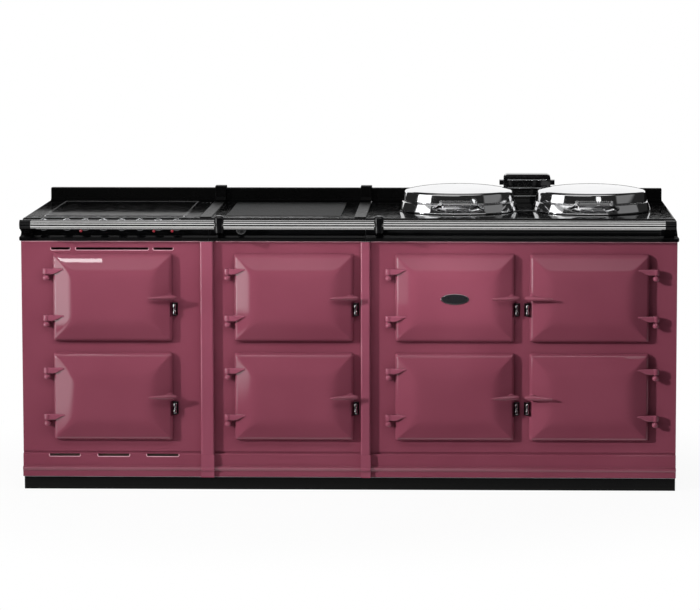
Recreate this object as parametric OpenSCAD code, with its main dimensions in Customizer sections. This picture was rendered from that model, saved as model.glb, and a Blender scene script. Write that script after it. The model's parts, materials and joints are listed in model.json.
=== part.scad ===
// Cast iron range cooker of three joined modules. The left one has a glass hob
// and two ovens, the middle one a warming plate and two ovens, and the right
// one two lidded hotplates and four ovens.
// X runs along the front with +X to the right, the front faces -Y, and +Z is up.
// The origin is on the floor, under the middle of the footprint.

/* [Body] */
// Width of the left module
left_w = 596; // [570:1:640]
// Width of the middle module
middle_w = 498; // [480:1:540]
// Width of the right module
right_w = 986; // [970:1:1040]
// Depth from the front panels to the back sheet
body_d = 650; // [640:1:700]
// Height of the hob surface above the floor
hob_h = 873; // [866:1:920]
// Height of the plinth boards
plinth_h = 42; // [36:1:60]
// How far the front plinth board stands back from the panels
plinth_recess = 15; // [8:1:40]
// Thickness of the base plate
base_t = 8; // [6:1:10]
// Thickness of the cast front panels
panel_t = 12; // [10:1:16]
// Thickness of the enamelled side panels
side_t = 4; // [3:0.5:5]
// Thickness of the inner sheets
sheet_t = 3; // [2:0.5:4]
// Gap between neighbouring castings
casting_gap = 1; // [0.6:0.1:2]

/* [Base moulding and posts] */
// Height of the base moulding's lower edge above the plinth
skirt_lift = 4; // [2:1:8]
// Height of the base moulding
skirt_h = 73; // [66:1:90]
// How far the base moulding's bead stands out
skirt_out = 19.5; // [17:0.5:26]
// Height of the shadow groove above the base moulding
groove_h = 6; // [3:1:9]
// Depth of the shadow groove
groove_d = 3; // [1:0.5:5]
// Widths of the two joint posts
post_w = [42, 31]; // [24:1:46]
// Offsets of the joint posts from the module joints
post_dx = [-5, 0]; // [-6:1:6]
// How far a joint post stands out
post_out = 22; // [14:1:28]
// Corner radius of a joint post
post_r = 6; // [3:1:10]

/* [Top] */
// Height of a top casting with its skirt
top_h = 73; // [66:1:80]
// Thickness of the hob slab
slab_t = 10; // [8:1:12]
// Thickness of an end skirt
end_t = 15; // [10:1:20]
// How far the bead under the skirt stands out
bead_out = 5; // [3:0.5:8]
// How far the slab's edge stands in
top_inset = 5; // [3:0.5:8]
// Rounding of the slab's edge
edge_r = 7; // [4:0.5:8]
// Height of the upstand above the hob surface
upstand_h = 43; // [30:1:60]
// Thickness of the upstand
upstand_t = 30; // [20:1:36]
// How far an upstand's end stands in from the body's side
upstand_inset = 12; // [6:1:20]
// Width of a joint cap
cap_w = 37; // [34:1:44]
// Height of a joint cap above the upstand
cap_rise = 8; // [4:1:14]
// Thickness of a joint strip on the hob surface
strip_t = 3; // [2:0.5:5]
// How far a joint cap stands in front of the upstand
cap_out = 14; // [10:1:20]
// Ends of the right skirt's recess, from the module joint and from the body's end
recess_ends = [70, 54]; // [40:1:90]
// Lower and upper edges of that recess, above the skirt's foot
recess_band = [17, 48]; // [17:1:54]
// Depth of that recess
recess_d = 3; // [2:0.5:4]
// Offsets of the joint caps from the module joints
cap_dx = [-10, -18]; // [-18:1:0]

/* [Doors] */
// Width of a door
door_w = 380; // [360:1:390]
// Height of a door
door_h = 281; // [265:1:285]
// Width of a door's bevelled border
bevel_w = 57; // [45:1:70]
// Depth of a door's rim, its front face's distance from the panel
rim_out = 20; // [17:0.5:22]
// Distance of a door's crown from the panel
crown_out = 45; // [38:1:52]
// Gap between a door and the panel
door_gap = 3; // [2:0.5:4]
// Corner radius of a door
door_r = 8; // [4:1:14]
// Gap between an upper door and the top casting
door_drop = 38; // [30:1:50]
// Gap between an upper and a lower door
door_space = 36; // [30:1:44]
// Door offsets from the middles of the left and middle modules
door_dx = [-7, 21.5]; // [-10:0.5:22]
// Offset of the door pair from the right module's middle
pair_dx = 3; // [-6:0.5:6]
// Spacing of the door pair's centres
pair_pitch = 426; // [422:1:436]
// Width of an oven mouth
mouth_w = 320; // [290:1:324]
// Height of an oven mouth
mouth_h = 225; // [200:1:230]
// Clearance round a door's inner panel
liner_gap = 7; // [6:0.5:10]
// How far a door's inner panel reaches behind the panel's front
liner_in = 35; // [25:1:38]
// Thickness of a door's inner sheet
liner_t = 2; // [1.5:0.5:3]
// Width of a door seal
seal_w = 9; // [7:0.5:12]
// Gap between a seal and the panel
seal_gap = 0.3; // [0.2:0.1:0.6]

/* [Door hinges] */
// Distance of the pivot outside the door's edge
pivot_out = 19.5; // [17:0.5:22]
// Distance of the pivot in front of the panel
pivot_front = 22; // [21:0.5:24]
// Radius of a door lug's knuckle
lug_r = 11; // [9:0.5:12]
// Height of a door lug
lug_h = 19; // [16:1:22]
// Length of a lug's strap over the door
strap_len = 38; // [30:1:44]
// Heights of the two lugs from the door's middle
lug_z = [-65, 84]; // [-70:1:90]
// Radius of a hinge pin
pin_r = 4; // [3:0.5:5]
// Running clearance of a pin in its bore
pin_fit = 0.08; // [0.03:0.01:0.1]
// Gap between a lug and its bracket
lug_gap = 3; // [1:0.5:4]
// Radius of a hinge bracket's boss
bracket_r = 12.5; // [10:0.5:13]
// Height of a hinge bracket
bracket_h = 17; // [14:1:20]

/* [Door handles and catches] */
// How far a handle's tip lies inside the door's edge
grip_in = 70; // [60:1:80]
// How far a handle's tip stands in front of the panel
grip_out = 66; // [60:1:72]
// Radius of a handle at its tip
tip_r = 4; // [3:0.5:5]
// Radius of a handle at its heel
heel_r = 8; // [6.5:0.5:9]
// How far a handle's heel lies inside the door's edge
heel_in = 13; // [12:0.5:16]
// How far a handle's heel stands in front of the panel
heel_out = 48; // [44:1:52]
// How far a handle's tongue reaches past the door's edge
tongue_past = 15; // [8:1:16]
// Height of a handle above the door's middle
handle_dz = 3; // [-6:1:8]
// How far the flat seat under a handle stands in front of the panel
seat_out = 30; // [28:0.5:34]
// Gap between a handle's foot and its seat
seat_gap = 0.05; // [0:0.05:0.1]
// Distance of a catch below the door's middle
catch_drop = 38; // [36:1:44]
// Distance of a catch outside the door's edge
catch_past = 6; // [6:0.5:8]
// Radius of a catch roller
roller_r = 5.5; // [4:0.5:6]
// Length of a catch roller
roller_len = 35; // [28:1:38]
// Thickness of a catch's plate
catch_t = 2; // [1:0.5:2]

/* [Ovens] */
// Depth of an oven behind the front panel
oven_d = 440; // [400:5:480]
// Thickness of an oven's walls
oven_t = 3; // [2:0.5:5]
// Distance of a shelf below the oven's middle
shelf_drop = 41; // [30:1:60]
// Thickness of a shelf
shelf_t = 4; // [3:0.5:5]
// Clearance between a shelf and the oven's sides
shelf_fit = 2; // [1:0.5:3]
// Width of a shelf runner
runner_w = 8; // [6:0.5:12]
// Radius of an oven element's tube
element_r = 3.2; // [2.5:0.1:4]
// Distance of an element below the oven's roof
element_drop = 10; // [8:0.5:14]

/* [Rails] */
// Diameter of a handrail
rail_d = 28.6; // [24:0.2:32]
// Distance of the handrail's axis in front of the panels
rail_out = 88; // [80:1:96]
// Height of the handrail's axis below the hob surface
rail_drop = 13; // [8:1:18]
// Radius of a rail column
column_r = 14.5; // [14:0.5:17]
// Distance of a rail column to the right of its module joint
column_dx = [41, 45]; // [34:1:50]
// How far a column rises above the hob surface
column_rise = 16; // [8:1:24]
// Distance from the body's end to the end of the rail
rail_end = 44; // [40:1:60]
// Width of an end bracket
end_arm_w = 34; // [24:1:38]
// Radius of the rail's spigots
spigot_r = 8; // [5:0.5:10]
// Length of the rail's spigots
spigot_len = 8; // [5:0.5:10]
// Clearance round the rail's spigots
spigot_fit = 0.1; // [0.05:0.05:0.3]

/* [Hob] */
// Left and right ends of the glass, from the left module's middle
glass_x = [-236, 222]; // [-245:1:225]
// Front and back edges of the glass, behind the panels
glass_y = [64, 602]; // [50:1:602]
// Thickness of the glass
glass_t = 5; // [4:0.5:6]
// Left and right ends of the warming plate, from the middle module's middle
warm_x = [-198, 168]; // [-204:1:174]
// Front and back edges of the warming plate, behind the panels
warm_y = [75, 551]; // [68:1:580]
// Thickness of the warming plate
warm_t = 6; // [5:0.5:8]
// How far the glass and the warming plate stand proud
inset_proud = 1; // [0.5:0.5:2]
// Width of the ledge that carries them
ledge_w = 10; // [6:1:14]
// Clearance round them
inset_fit = 0.3; // [0.2:0.1:0.8]
// Radius of a hob coil
coil_pack_r = 85; // [70:1:95]
// Thickness of a hob coil
coil_pack_t = 8; // [6:1:10]
// Spacing of the hob coils, across and in depth
coil_pack_pitch = [205, 240]; // [195:1:250]
// Radius of a hotplate
plate_r = 168; // [155:1:172]
// Radius of a hotplate's flange
flange_r = 176; // [174:1:180]
// Thickness of a hotplate's flange
flange_t = 4; // [3:0.5:5]
// Depth of a hotplate below the hob surface
plate_deep = 38; // [30:1:50]

/* [Lids] */
// Spacing of the lids' centres
lid_pitch = 432; // [410:1:440]
// Offset of the lid pair from the right module's middle
lid_dx = 16; // [-10:1:20]
// Distance of the lids' centres behind the panels
lid_y = 300; // [290:1:310]
// Radius of a lid's foot
lid_r = 193; // [186:1:196]
// Height of a lid
lid_h = 83; // [76:1:92]
// Wall of a lid
lid_t = 3; // [2.5:0.5:4]
// Gap under a closed lid
lid_gap = 1; // [0.4:0.2:2]
// Distance of the lid's pivot behind its foot
lid_pivot_back = 21; // [19:1:26]
// Height of the lid's pivot above the hob surface
lid_pivot_up = 22; // [19:1:26]
// Radius of the lid hinge's knuckle
lid_knuckle_r = 10; // [8:0.5:12]
// Length of the lid hinge's knuckle
lid_knuckle_len = 60; // [40:1:80]
// Radius of the lid hinge's pin
lid_pin_r = 5; // [4:0.5:6]
// Radius of a lid hinge's ear
ear_r = 10; // [8:0.5:12]
// Thickness of a lid hinge's foot
ear_foot_t = 4; // [3:0.5:6]
// Width of a lid hinge's ear
ear_w = 14; // [10:1:18]
// Gap between the knuckle and an ear
ear_gap = 0.5; // [0.3:0.1:1]

/* [Lid handles] */
// Length of the coil grip
grip_len = 104; // [90:1:112]
// Turns of the coil grip
grip_turns = 16; // [12:1:18]
// Mean radius of the coil
grip_r = 10; // [9:0.5:12]
// Diameter of the coil's wire
wire_d = 4; // [3:0.2:4.4]
// Distance of the grip in front of the lid's foot
grip_front = 37; // [32:1:44]
// Height of the grip above the hob surface
grip_up = 38; // [34:1:44]
// Radius of the grip's end bosses
boss_r = 12.5; // [12:0.5:15]
// Thickness of an end boss
boss_t = 8; // [6:0.5:10]
// Radius of the rod inside the coil
core_r = 5; // [3:0.5:6]
// Radius of a handle's arm
arm_r = 6; // [4:0.5:7]
// Angle of a handle's feet from the lid's front
foot_angle = 23.5; // [22:0.5:26]
// Radius of a handle's foot
foot_r = 7; // [5:0.5:7.5]
// Height of a handle's feet above the hob surface
foot_up = 20; // [19:0.5:22]

/* [Knobs] */
// Diameter of a hob knob's bezel
knob_d = 40; // [34:1:42]
// Distance of the hob knobs below the hob surface
knob_drop = 21; // [20:1:24]
// Place of the first hob knob, from the left module's middle
knob_x = -226; // [-232:1:-220]
// Gap between the first hob knob and the row of seven
knob_gap = 75; // [70:1:78]
// Pitch of the row of seven
knob_pitch = 58; // [54:1:58]
// How far a knob stands out
knob_out = 30; // [22:1:34]
// Diameter of the middle module's knob
dial_d = 32; // [26:1:34]
// Distance of that knob below the hob surface
dial_drop = 36; // [34:1:40]
// Place of that knob, from the middle module's middle
dial_x = -146; // [-160:1:-120]
// Radius of a knob's shaft
shaft_r = 4; // [3:0.5:5]
// Clearance round a knob's shaft
shaft_fit = 0.1; // [0.05:0.05:0.3]

/* [Cowl and badge] */
// Width of the flue cowl
cowl_w = 156; // [130:1:170]
// Depth of the flue cowl
cowl_d = 60; // [50:1:64]
// Height of the flue cowl above the hob surface
cowl_h = 96; // [80:1:110]
// Offset of the flue cowl from the right module's middle
cowl_dx = 28; // [10:1:32]
// Corner radius of the flue cowl
cowl_r = 14; // [8:1:20]
// Width across the cowl's two ears
ear_span = 184; // [176:1:190]
// Length of the badge
badge_w = 90; // [70:1:100]
// Height of the badge
badge_h = 35; // [26:1:40]
// Thickness of the badge
badge_t = 4; // [3:0.5:5]

/* [Hidden] */
$fn = 64;
COLUMNS = ["left", "middle", "centre", "right"];
LEFT = 0;
MIDDLE = 1;
CENTRE = 2;
RIGHT = 3;
LOWER = 0;
UPPER = 1;
KNOBS = 8;

total_w = left_w + middle_w + right_w;
x0 = -total_w / 2;
x1 = x0 + left_w;
x2 = x1 + middle_w;
x3 = x0 + total_w;
left_mid = (x0 + x1) / 2;
middle_mid = (x1 + x2) / 2;
right_mid = (x2 + x3) / 2;
nose_r = rail_d / 2 + 0.7;
front_y = -(body_d - rail_out - nose_r) / 2;
base_top = plinth_h + base_t;
skirt_z = plinth_h + skirt_lift;
top_z = hob_h - top_h;
door_z = [
    top_z - door_drop - 1.5 * door_h - door_space,
    top_z - door_drop - door_h / 2
];
door_x = [
    left_mid + door_dx[0],
    middle_mid + door_dx[1],
    right_mid + pair_dx - pair_pitch / 2,
    right_mid + pair_dx + pair_pitch / 2
];
// +1 where the door is hinged at its left edge, -1 at its right edge
door_hand = [1, 1, 1, -1];
bracket_drop = lug_h / 2 + lug_gap + bracket_h;
pin_len = lug_gap + lug_h - 6;
post_x = [x1 + post_dx[0], x2 + post_dx[1]];
// Left and right ends of the ventilation slots, from the left module's middle
top_vents = [[-203, -142], [-124, 107], [122, 185]];
base_vents = [[-214, -116], [-59, 42], [97, 199]];
vent_h = 8;
cap_x = [x1 + cap_dx[0], x2 + cap_dx[1]];
cap_front = upstand_t + cap_out;
column_x = [x1 + column_dx[0], x2 + column_dx[1]];
rail_z = hob_h - rail_drop;
rail_r = rail_d / 2;
rail_spans = [
    [x0 + rail_end, column_x[0] - column_r],
    [column_x[0] + column_r, column_x[1] - column_r],
    [column_x[1] + column_r, x3 - rail_end]
];
lid_x = [right_mid + lid_dx - lid_pitch / 2, right_mid + lid_dx + lid_pitch / 2];
lid_pivot_y = lid_r + lid_pivot_back;
knob_xs = [for (k = [0:KNOBS - 1]) left_mid + knob_x + (k > 0 ? knob_gap + (k - 1) * knob_pitch : 0)];
glass_z = hob_h + inset_proud - glass_t;
ring_w = 6;

// How far inside the body's side the back sheet's upper part ends
skirt_in = end_t - bead_out + casting_gap;

// The outline of the top's skirt as [distance outwards, height above its foot]
skirt_line = concat(
    [
        [0, 0],
        [bead_out - 2, 0],
        [bead_out, 3],
        [bead_out, 11],
        [bead_out - 2, 14],
        [0.5, 17],
        [-1, 28]
    ],
    [for (a = [0:15:90]) [edge_r * (cos(a) - 1) - top_inset, top_h - edge_r * (1 - sin(a))]]
);

// How far behind the panels the skirt's face lies at a height above its foot
function skirt_face(h) = -lookup(h, [for (p = skirt_line) [p[1], p[0]]]);

// The outline of the base moulding as [distance outwards, height above its foot]
moulding_line = [
    [0, 0],
    [skirt_out - 5.5, 0],
    [skirt_out - 5.5, 19],
    [skirt_out - 2.5, 20.5],
    [skirt_out, 25.5],
    [skirt_out - 2.5, 30.5],
    [skirt_out - 5.5, 32],
    [8, 33],
    [7, 35],
    [7, skirt_h - 3],
    [5, skirt_h],
    [0, skirt_h]
];

// ---- helpers ----

// Puts a piece drawn with the front panels at Y = 0 into the cooker's frame
module place() {
    translate([0, front_y, 0]) children();
}

// A box between two corners
module block(a, b) {
    translate(a) cube(b - a);
}

// A (Y, Z) outline carried along X
module along_x(xa, xb) {
    translate([xa, 0, 0]) rotate([90, 0, 90]) linear_extrude(xb - xa) children();
}

// An (X, Z) outline carried along Y
module along_y(ya, yb) {
    translate([0, yb, 0]) rotate([90, 0, 0]) linear_extrude(yb - ya) children();
}

// A rectangle with round corners, centred
module round_rect(w, h, r) {
    square([w - 2 * r, h], center = true);
    square([w, h - 2 * r], center = true);
    for (sx = [-1, 1], sy = [-1, 1]) {
        translate([sx * (w / 2 - r), sy * (h / 2 - r)]) circle(r);
    }
}

// A round bar from point a to point b, of radius ra at a and rb at b
module bar(a, b, ra, rb) {
    v = b - a;
    translate(a) rotate([0, acos(v[2] / norm(v)), atan2(v[1], v[0])]) cylinder(h = norm(v), r1 = ra, r2 = rb);
}

// Mirrors what is drawn for a left-hinged door where the door is right-hinged
module handed(hand) {
    mirror([hand < 0 ? 1 : 0, 0, 0]) children();
}

// Moves to each door's middle
module each_door() {
    for (c = [LEFT:RIGHT], r = [LOWER, UPPER]) {
        translate([door_x[c], 0, door_z[r]]) handed(door_hand[c]) children();
    }
}

// ---- base and casing ----

module plinth() {
    color("#2b2b29") {
        block([x0, plinth_recess, 0], [x3, plinth_recess + 18, plinth_h]);
        block([x0, body_d - 18, 0], [x3, body_d, plinth_h]);
        for (x = [x0, x3 - 18]) {
            block([x, plinth_recess + 18, 0], [x + 18, body_d - 18, plinth_h]);
        }
    }
}

module chassis() {
    color("#8f9396") {
        block([x0, 2, plinth_h], [x3, body_d, base_top]);
        block([x0 + side_t, body_d - sheet_t, base_top], [x3 - side_t, body_d, top_z]);
        block([x0 + skirt_in, body_d - sheet_t, top_z], [x3 - skirt_in, body_d, hob_h - slab_t]);
        for (x = [x1, x2]) {
            block(
                [x - sheet_t / 2, panel_t + 1, base_top],
                [x + sheet_t / 2, body_d - sheet_t, hob_h - slab_t]
            );
        }
    }
}

module levelling_feet() {
    color("#9a9c9e") {
        for (x = [x0 + 80, x1, x2, x3 - 80], y = [90, body_d - 90]) {
            translate([x, y, 0]) {
                cylinder(h = 6, r = 22);
                cylinder(h = plinth_h - 10, r = 6);
                translate([0, 0, plinth_h - 10]) cylinder(h = 10, r = 11, $fn = 6);
            }
        }
    }
}

module side_panels() {
    color("#8a4654") {
        for (x = [x0, x3 - side_t]) {
            block([x, panel_t, base_top], [x + side_t, body_d, top_z]);
        }
    }
}

module base_moulding() {
    ends = [
        x0, post_x[0] - post_w[0] / 2, post_x[0] + post_w[0] / 2,
        post_x[1] - post_w[1] / 2, post_x[1] + post_w[1] / 2, x3
    ];
    color("#8a4654") {
        difference() {
            for (i = [0:2:4]) {
                along_x(ends[i], ends[i + 1]) polygon([for (p = moulding_line) [-p[0], skirt_z + p[1]]]);
            }
            for (span = base_vents) {
                block(
                    [left_mid + span[0], -skirt_out, skirt_z + skirt_h - vent_h - 1],
                    [left_mid + span[1], 1, skirt_z + skirt_h - 1]
                );
            }
        }
    }
}

module joint_post(x, w) {
    translate([x, 0, skirt_z + skirt_h]) linear_extrude(top_z - skirt_z - skirt_h) {
        translate([-w / 2, post_r - post_out]) square([w, post_out - post_r]);
        translate([post_r - w / 2, -post_out]) square([w - 2 * post_r, post_r]);
        for (s = [-1, 1]) {
            translate([s * (w / 2 - post_r), post_r - post_out]) circle(post_r);
        }
    }
    along_x(x - w / 2, x + w / 2) polygon([
        [0, skirt_z],
        [-post_out - 3, skirt_z],
        [-post_out - 3, skirt_z + 19],
        [-post_out - 8, skirt_z + 23],
        [-post_out - 8, skirt_z + 28],
        [-post_out - 3, skirt_z + 32],
        [-post_out - 1, skirt_z + skirt_h],
        [0, skirt_z + skirt_h]
    ]);
}

module joint_posts() {
    color("#8a4654") {
        for (i = [0, 1]) {
            joint_post(post_x[i], post_w[i]);
        }
    }
}

// A cast front panel between xa and xb, with a mouth behind each door in columns
module front_panel(xa, xb, columns) {
    color("#8a4654") difference() {
        block([xa, 0, base_top], [xb, panel_t, top_z]);
        for (c = columns, r = [LOWER, UPPER]) {
            translate([door_x[c], 0, door_z[r]]) along_y(-1, panel_t + 1) round_rect(mouth_w, mouth_h, 6);
        }
        block([xa - 1, -1, skirt_z + skirt_h], [xb + 1, groove_d, skirt_z + skirt_h + groove_h]);
        children();
    }
}

module front_left() {
    front_panel(x0, x1 - casting_gap / 2, [LEFT]) {
        for (span = top_vents) {
            block(
                [left_mid + span[0], -1, top_z - 21 - vent_h],
                [left_mid + span[1], panel_t + 1, top_z - 21]
            );
        }
    }
}

// ---- top ----

// A top casting between xa and xb, with a skirt at the ends that are outer ones
module top_casting(xa, xb, outer_a, outer_b) {
    color("#161617") difference() {
        intersection() {
            along_x(xa - 20, xb + 20) polygon(concat(
                [for (p = skirt_line) [-p[0], top_z + p[1]]],
                [[body_d, hob_h], [body_d, top_z]]
            ));
            along_y(-20, body_d) polygon(concat(
                outer_a ? [for (p = skirt_line) [xa - p[0], top_z + p[1]]] : [[xa, top_z], [xa, hob_h]],
                outer_b ? [for (i = [len(skirt_line) - 1:-1:0]) [xb + skirt_line[i][0], top_z + skirt_line[i][1]]]
                    : [[xb, hob_h], [xb, top_z]]
            ));
        }
        block(
            [xa + (outer_a ? end_t - bead_out : -1), panel_t, top_z - 1],
            [xb - (outer_b ? end_t - bead_out : -1), body_d + 1, hob_h - slab_t]
        );
        children();
    }
}

// The rebate and the opening for a flush plate of thickness t
module flush_seat(mid, xs, ys, t) {
    block(
        [mid + xs[0] - inset_fit, ys[0] - inset_fit, hob_h + inset_proud - t],
        [mid + xs[1] + inset_fit, ys[1] + inset_fit, hob_h + 1]
    );
    block(
        [mid + xs[0] + ledge_w, ys[0] + ledge_w, hob_h - slab_t - 1],
        [mid + xs[1] - ledge_w, ys[1] - ledge_w, hob_h]
    );
}

// The bore for a knob's shaft through the front skirt
module shaft_bore(x, drop) {
    translate([x, -10, hob_h - drop]) rotate([-90, 0, 0]) cylinder(h = panel_t + 12, r = shaft_r + shaft_fit);
}

module top_left() {
    top_casting(x0, x1 - casting_gap / 2, true, false) {
        flush_seat(left_mid, glass_x, glass_y, glass_t);
        for (x = knob_xs) {
            shaft_bore(x, knob_drop);
        }
    }
}

module top_middle() {
    top_casting(x1 + casting_gap / 2, x2 - casting_gap / 2, false, false) {
        flush_seat(middle_mid, warm_x, warm_y, warm_t);
        shaft_bore(middle_mid + dial_x, dial_drop);
    }
}

module top_right() {
    top_casting(x2 + casting_gap / 2, x3, false, true) {
        for (x = lid_x) {
            translate([x, lid_y, hob_h - slab_t - 1]) cylinder(h = slab_t + 2, r = plate_r + inset_fit, $fn = 96);
        }
        block([x2 + recess_ends[0], -10, top_z + recess_band[0]], [x3 - recess_ends[1], recess_d, top_z + recess_band[1]]);
    }
}

module upstand() {
    line = [
        [body_d - upstand_t - 8, hob_h],
        [body_d - upstand_t - 8, hob_h + 5],
        [body_d - upstand_t - 6, hob_h + 7],
        [body_d - upstand_t, hob_h + 8],
        [body_d - upstand_t, hob_h + upstand_h - 4],
        [body_d - upstand_t + 4, hob_h + upstand_h],
        [body_d, hob_h + upstand_h],
        [body_d, hob_h]
    ];
    ends = [
        x0 + upstand_inset, cap_x[0] - cap_w / 2, cap_x[0] + cap_w / 2,
        cap_x[1] - cap_w / 2, cap_x[1] + cap_w / 2, x3 - upstand_inset
    ];
    color("#161617") {
        for (i = [0:2:4]) {
            along_x(ends[i], ends[i + 1]) polygon(line);
        }
        for (x = cap_x) {
            along_x(x - cap_w / 2, x + cap_w / 2) polygon([
                [top_inset + edge_r, hob_h],
                [top_inset + edge_r + strip_t, hob_h + strip_t],
                [body_d - cap_front - 10, hob_h + strip_t],
                [body_d - cap_front, hob_h + 14],
                [body_d - cap_front, hob_h + upstand_h + cap_rise - 4],
                [body_d - cap_front + 4, hob_h + upstand_h + cap_rise],
                [body_d, hob_h + upstand_h + cap_rise],
                [body_d, hob_h]
            ]);
        }
    }
}

// ---- rails ----

module handrails() {
    color("#d4d6d8") {
        for (span = rail_spans) {
            translate([span[0], -rail_out, rail_z]) rotate([0, 90, 0]) cylinder(h = span[1] - span[0], r = rail_r);
            translate([span[0] - spigot_len, -rail_out, rail_z]) rotate([0, 90, 0]) {
                cylinder(h = span[1] - span[0] + 2 * spigot_len, r = spigot_r);
            }
        }
    }
}

// The bore that takes the rail's spigots, between xa and xb
module rail_bore(xa, xb) {
    translate([xa, -rail_out, rail_z]) rotate([0, 90, 0]) cylinder(h = xb - xa, r = spigot_r + spigot_fit);
}

module rail_column(x) {
    foot = top_z + 36;
    difference() {
        union() {
            translate([x, -rail_out, foot]) cylinder(h = hob_h + column_rise - column_r / 2 - foot, r = column_r);
            translate([x, -rail_out, hob_h + column_rise - column_r / 2]) rotate_extrude() {
                intersection() {
                    square([column_r, column_r]);
                    translate([column_r / 2, 0]) circle(column_r / 2);
                }
                square([column_r / 2, column_r / 2]);
            }
            along_x(x - column_r + 2, x + column_r - 2) polygon([
                [skirt_face(19), top_z + 19],
                [-30, top_z + 27],
                [-rail_out + 4, foot],
                [-rail_out + 4, foot + 12],
                [-40, foot + 8],
                [skirt_face(48), foot + 12],
                [skirt_face(28), top_z + 28]
            ]);
        }
        rail_bore(x - column_r - 1, x + column_r + 1);
    }
}

// An end bracket: an arm from the skirt that ends round on the rail's axis
module end_bracket(xa, xb) {
    difference() {
        along_x(xa, xb) union() {
            translate([-rail_out, rail_z]) circle(nose_r);
            polygon([
                [-rail_out, rail_z + nose_r - 1],
                [-20, hob_h - 4],
                [skirt_face(top_h - 12), hob_h - 12],
                [skirt_face(28), top_z + 28],
                [skirt_face(19), top_z + 19],
                [-24, top_z + 20],
                [-rail_out, rail_z - nose_r + 1]
            ]);
        }
        children();
    }
}

module rail_brackets() {
    color("#161617") {
        for (x = column_x) {
            rail_column(x);
        }
        end_bracket(x0 + rail_end - end_arm_w, x0 + rail_end) {
            rail_bore(x0 + rail_end - spigot_len - 1, x0 + rail_end + 1);
        }
        end_bracket(x3 - rail_end, x3 - rail_end + end_arm_w) {
            rail_bore(x3 - rail_end - 1, x3 - rail_end + spigot_len + 1);
        }
    }
}

// ---- what sits on and under the hob ----

module flue_cowl() {
    y_back = body_d - upstand_t - 8 - 2;
    color("#1b1b1c") translate([right_mid + cowl_dx, 0, hob_h]) {
        difference() {
            along_y(y_back - cowl_d, y_back) union() {
                translate([0, cowl_h / 2 - cowl_r / 2]) square([cowl_w, cowl_h - cowl_r], center = true);
                translate([0, cowl_h - cowl_r]) square([cowl_w - 2 * cowl_r, 2 * cowl_r], center = true);
                for (s = [-1, 1]) {
                    translate([s * (cowl_w / 2 - cowl_r), cowl_h - cowl_r]) circle(cowl_r);
                }
            }
            for (z = [16:12:52]) {
                block([-cowl_w / 2 + 14, y_back - cowl_d - 1, z], [cowl_w / 2 - 14, y_back - cowl_d + 6, z + 6]);
            }
        }
        block([-ear_span / 2, y_back - cowl_d + 12, 60], [ear_span / 2, y_back - 12, 76]);
    }
}

module glass_hob() {
    color("#202124") block(
        [left_mid + glass_x[0], glass_y[0], glass_z],
        [left_mid + glass_x[1], glass_y[1], hob_h + inset_proud]
    );
}

module warming_plate() {
    color("#5a5c5e") block(
        [middle_mid + warm_x[0], warm_y[0], hob_h + inset_proud - warm_t],
        [middle_mid + warm_x[1], warm_y[1], hob_h + inset_proud]
    );
}

module hotplates() {
    color("#3a3a3b") for (x = lid_x) {
        translate([x, lid_y, hob_h - plate_deep]) cylinder(h = plate_deep, r = plate_r, $fn = 96);
        translate([x, lid_y, hob_h]) cylinder(h = flange_t, r = flange_r, $fn = 96);
    }
}

// A U-shaped tube under an oven's roof, with its two ends on the back wall
module oven_element() {
    bend_r = mouth_w / 2 - 70;
    y_bend = panel_t + 60 + bend_r;
    y_wall = panel_t + oven_d - oven_t;
    translate([0, 0, mouth_h / 2 - element_drop]) {
        for (s = [-1, 1]) {
            bar([s * bend_r, y_bend, 0], [s * bend_r, y_wall, 0], element_r, element_r);
        }
        translate([0, y_bend, 0]) rotate([0, 0, 180]) rotate_extrude(angle = 180) {
            translate([bend_r, 0]) circle(element_r);
        }
    }
}

module heating_elements() {
    color("#6b5a4a") {
        each_door() oven_element();
        for (sx = [-1, 1], sy = [-1, 1]) {
            translate([
                left_mid + (glass_x[0] + glass_x[1] + sx * coil_pack_pitch[0]) / 2,
                (glass_y[0] + glass_y[1] + sy * coil_pack_pitch[1]) / 2,
                glass_z - coil_pack_t
            ]) difference() {
                cylinder(h = coil_pack_t, r = coil_pack_r);
                translate([0, 0, -1]) cylinder(h = coil_pack_t + 2, r = 25);
            }
        }
    }
}

// ---- ovens ----

module oven() {
    difference() {
        block(
            [-mouth_w / 2 - oven_t, panel_t, -mouth_h / 2 - oven_t],
            [mouth_w / 2 + oven_t, panel_t + oven_d, mouth_h / 2 + oven_t]
        );
        block(
            [-mouth_w / 2, panel_t - 1, -mouth_h / 2],
            [mouth_w / 2, panel_t + oven_d - oven_t, mouth_h / 2]
        );
    }
    for (x = [-mouth_w / 2, mouth_w / 2 - runner_w]) {
        block(
            [x, liner_in + 8, -shelf_drop - shelf_t - 6],
            [x + runner_w, panel_t + oven_d - oven_t, -shelf_drop - shelf_t]
        );
    }
}

module ovens(c) {
    color("#4a4744") for (r = [LOWER, UPPER]) {
        translate([door_x[c], 0, door_z[r]]) oven();
    }
}

// A shelf of bars between its front and back rims, on the oven's runners
module oven_shelf() {
    bars = 12;
    w = mouth_w - 2 * shelf_fit;
    d = oven_d - liner_in - 15;
    pitch = (w - 8) / bars;
    translate([-w / 2, liner_in + 12, -shelf_drop - shelf_t]) difference() {
        cube([w, d, shelf_t]);
        for (i = [0:bars - 1]) {
            translate([8 + i * pitch, 8, -1]) cube([pitch - 8, d - 16, shelf_t + 2]);
        }
    }
}

module oven_shelves() {
    color("#b9bcbe") each_door() oven_shelf();
}

// ---- doors: drawn round the door's middle, hinged at the left ----

// The XY outline of a lug's strap, from inside the knuckle to the door
function strap_outline() = [
    [0, 1.5 - lug_r],
    [pivot_out + strap_len, pivot_front - rim_out - lug_r - 5],
    [pivot_out + strap_len, 0],
    [pivot_out + 4, pivot_front - door_gap - 4],
    [pivot_out, pivot_front - door_gap - 4],
    [0, lug_r - 1.5]
];

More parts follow.
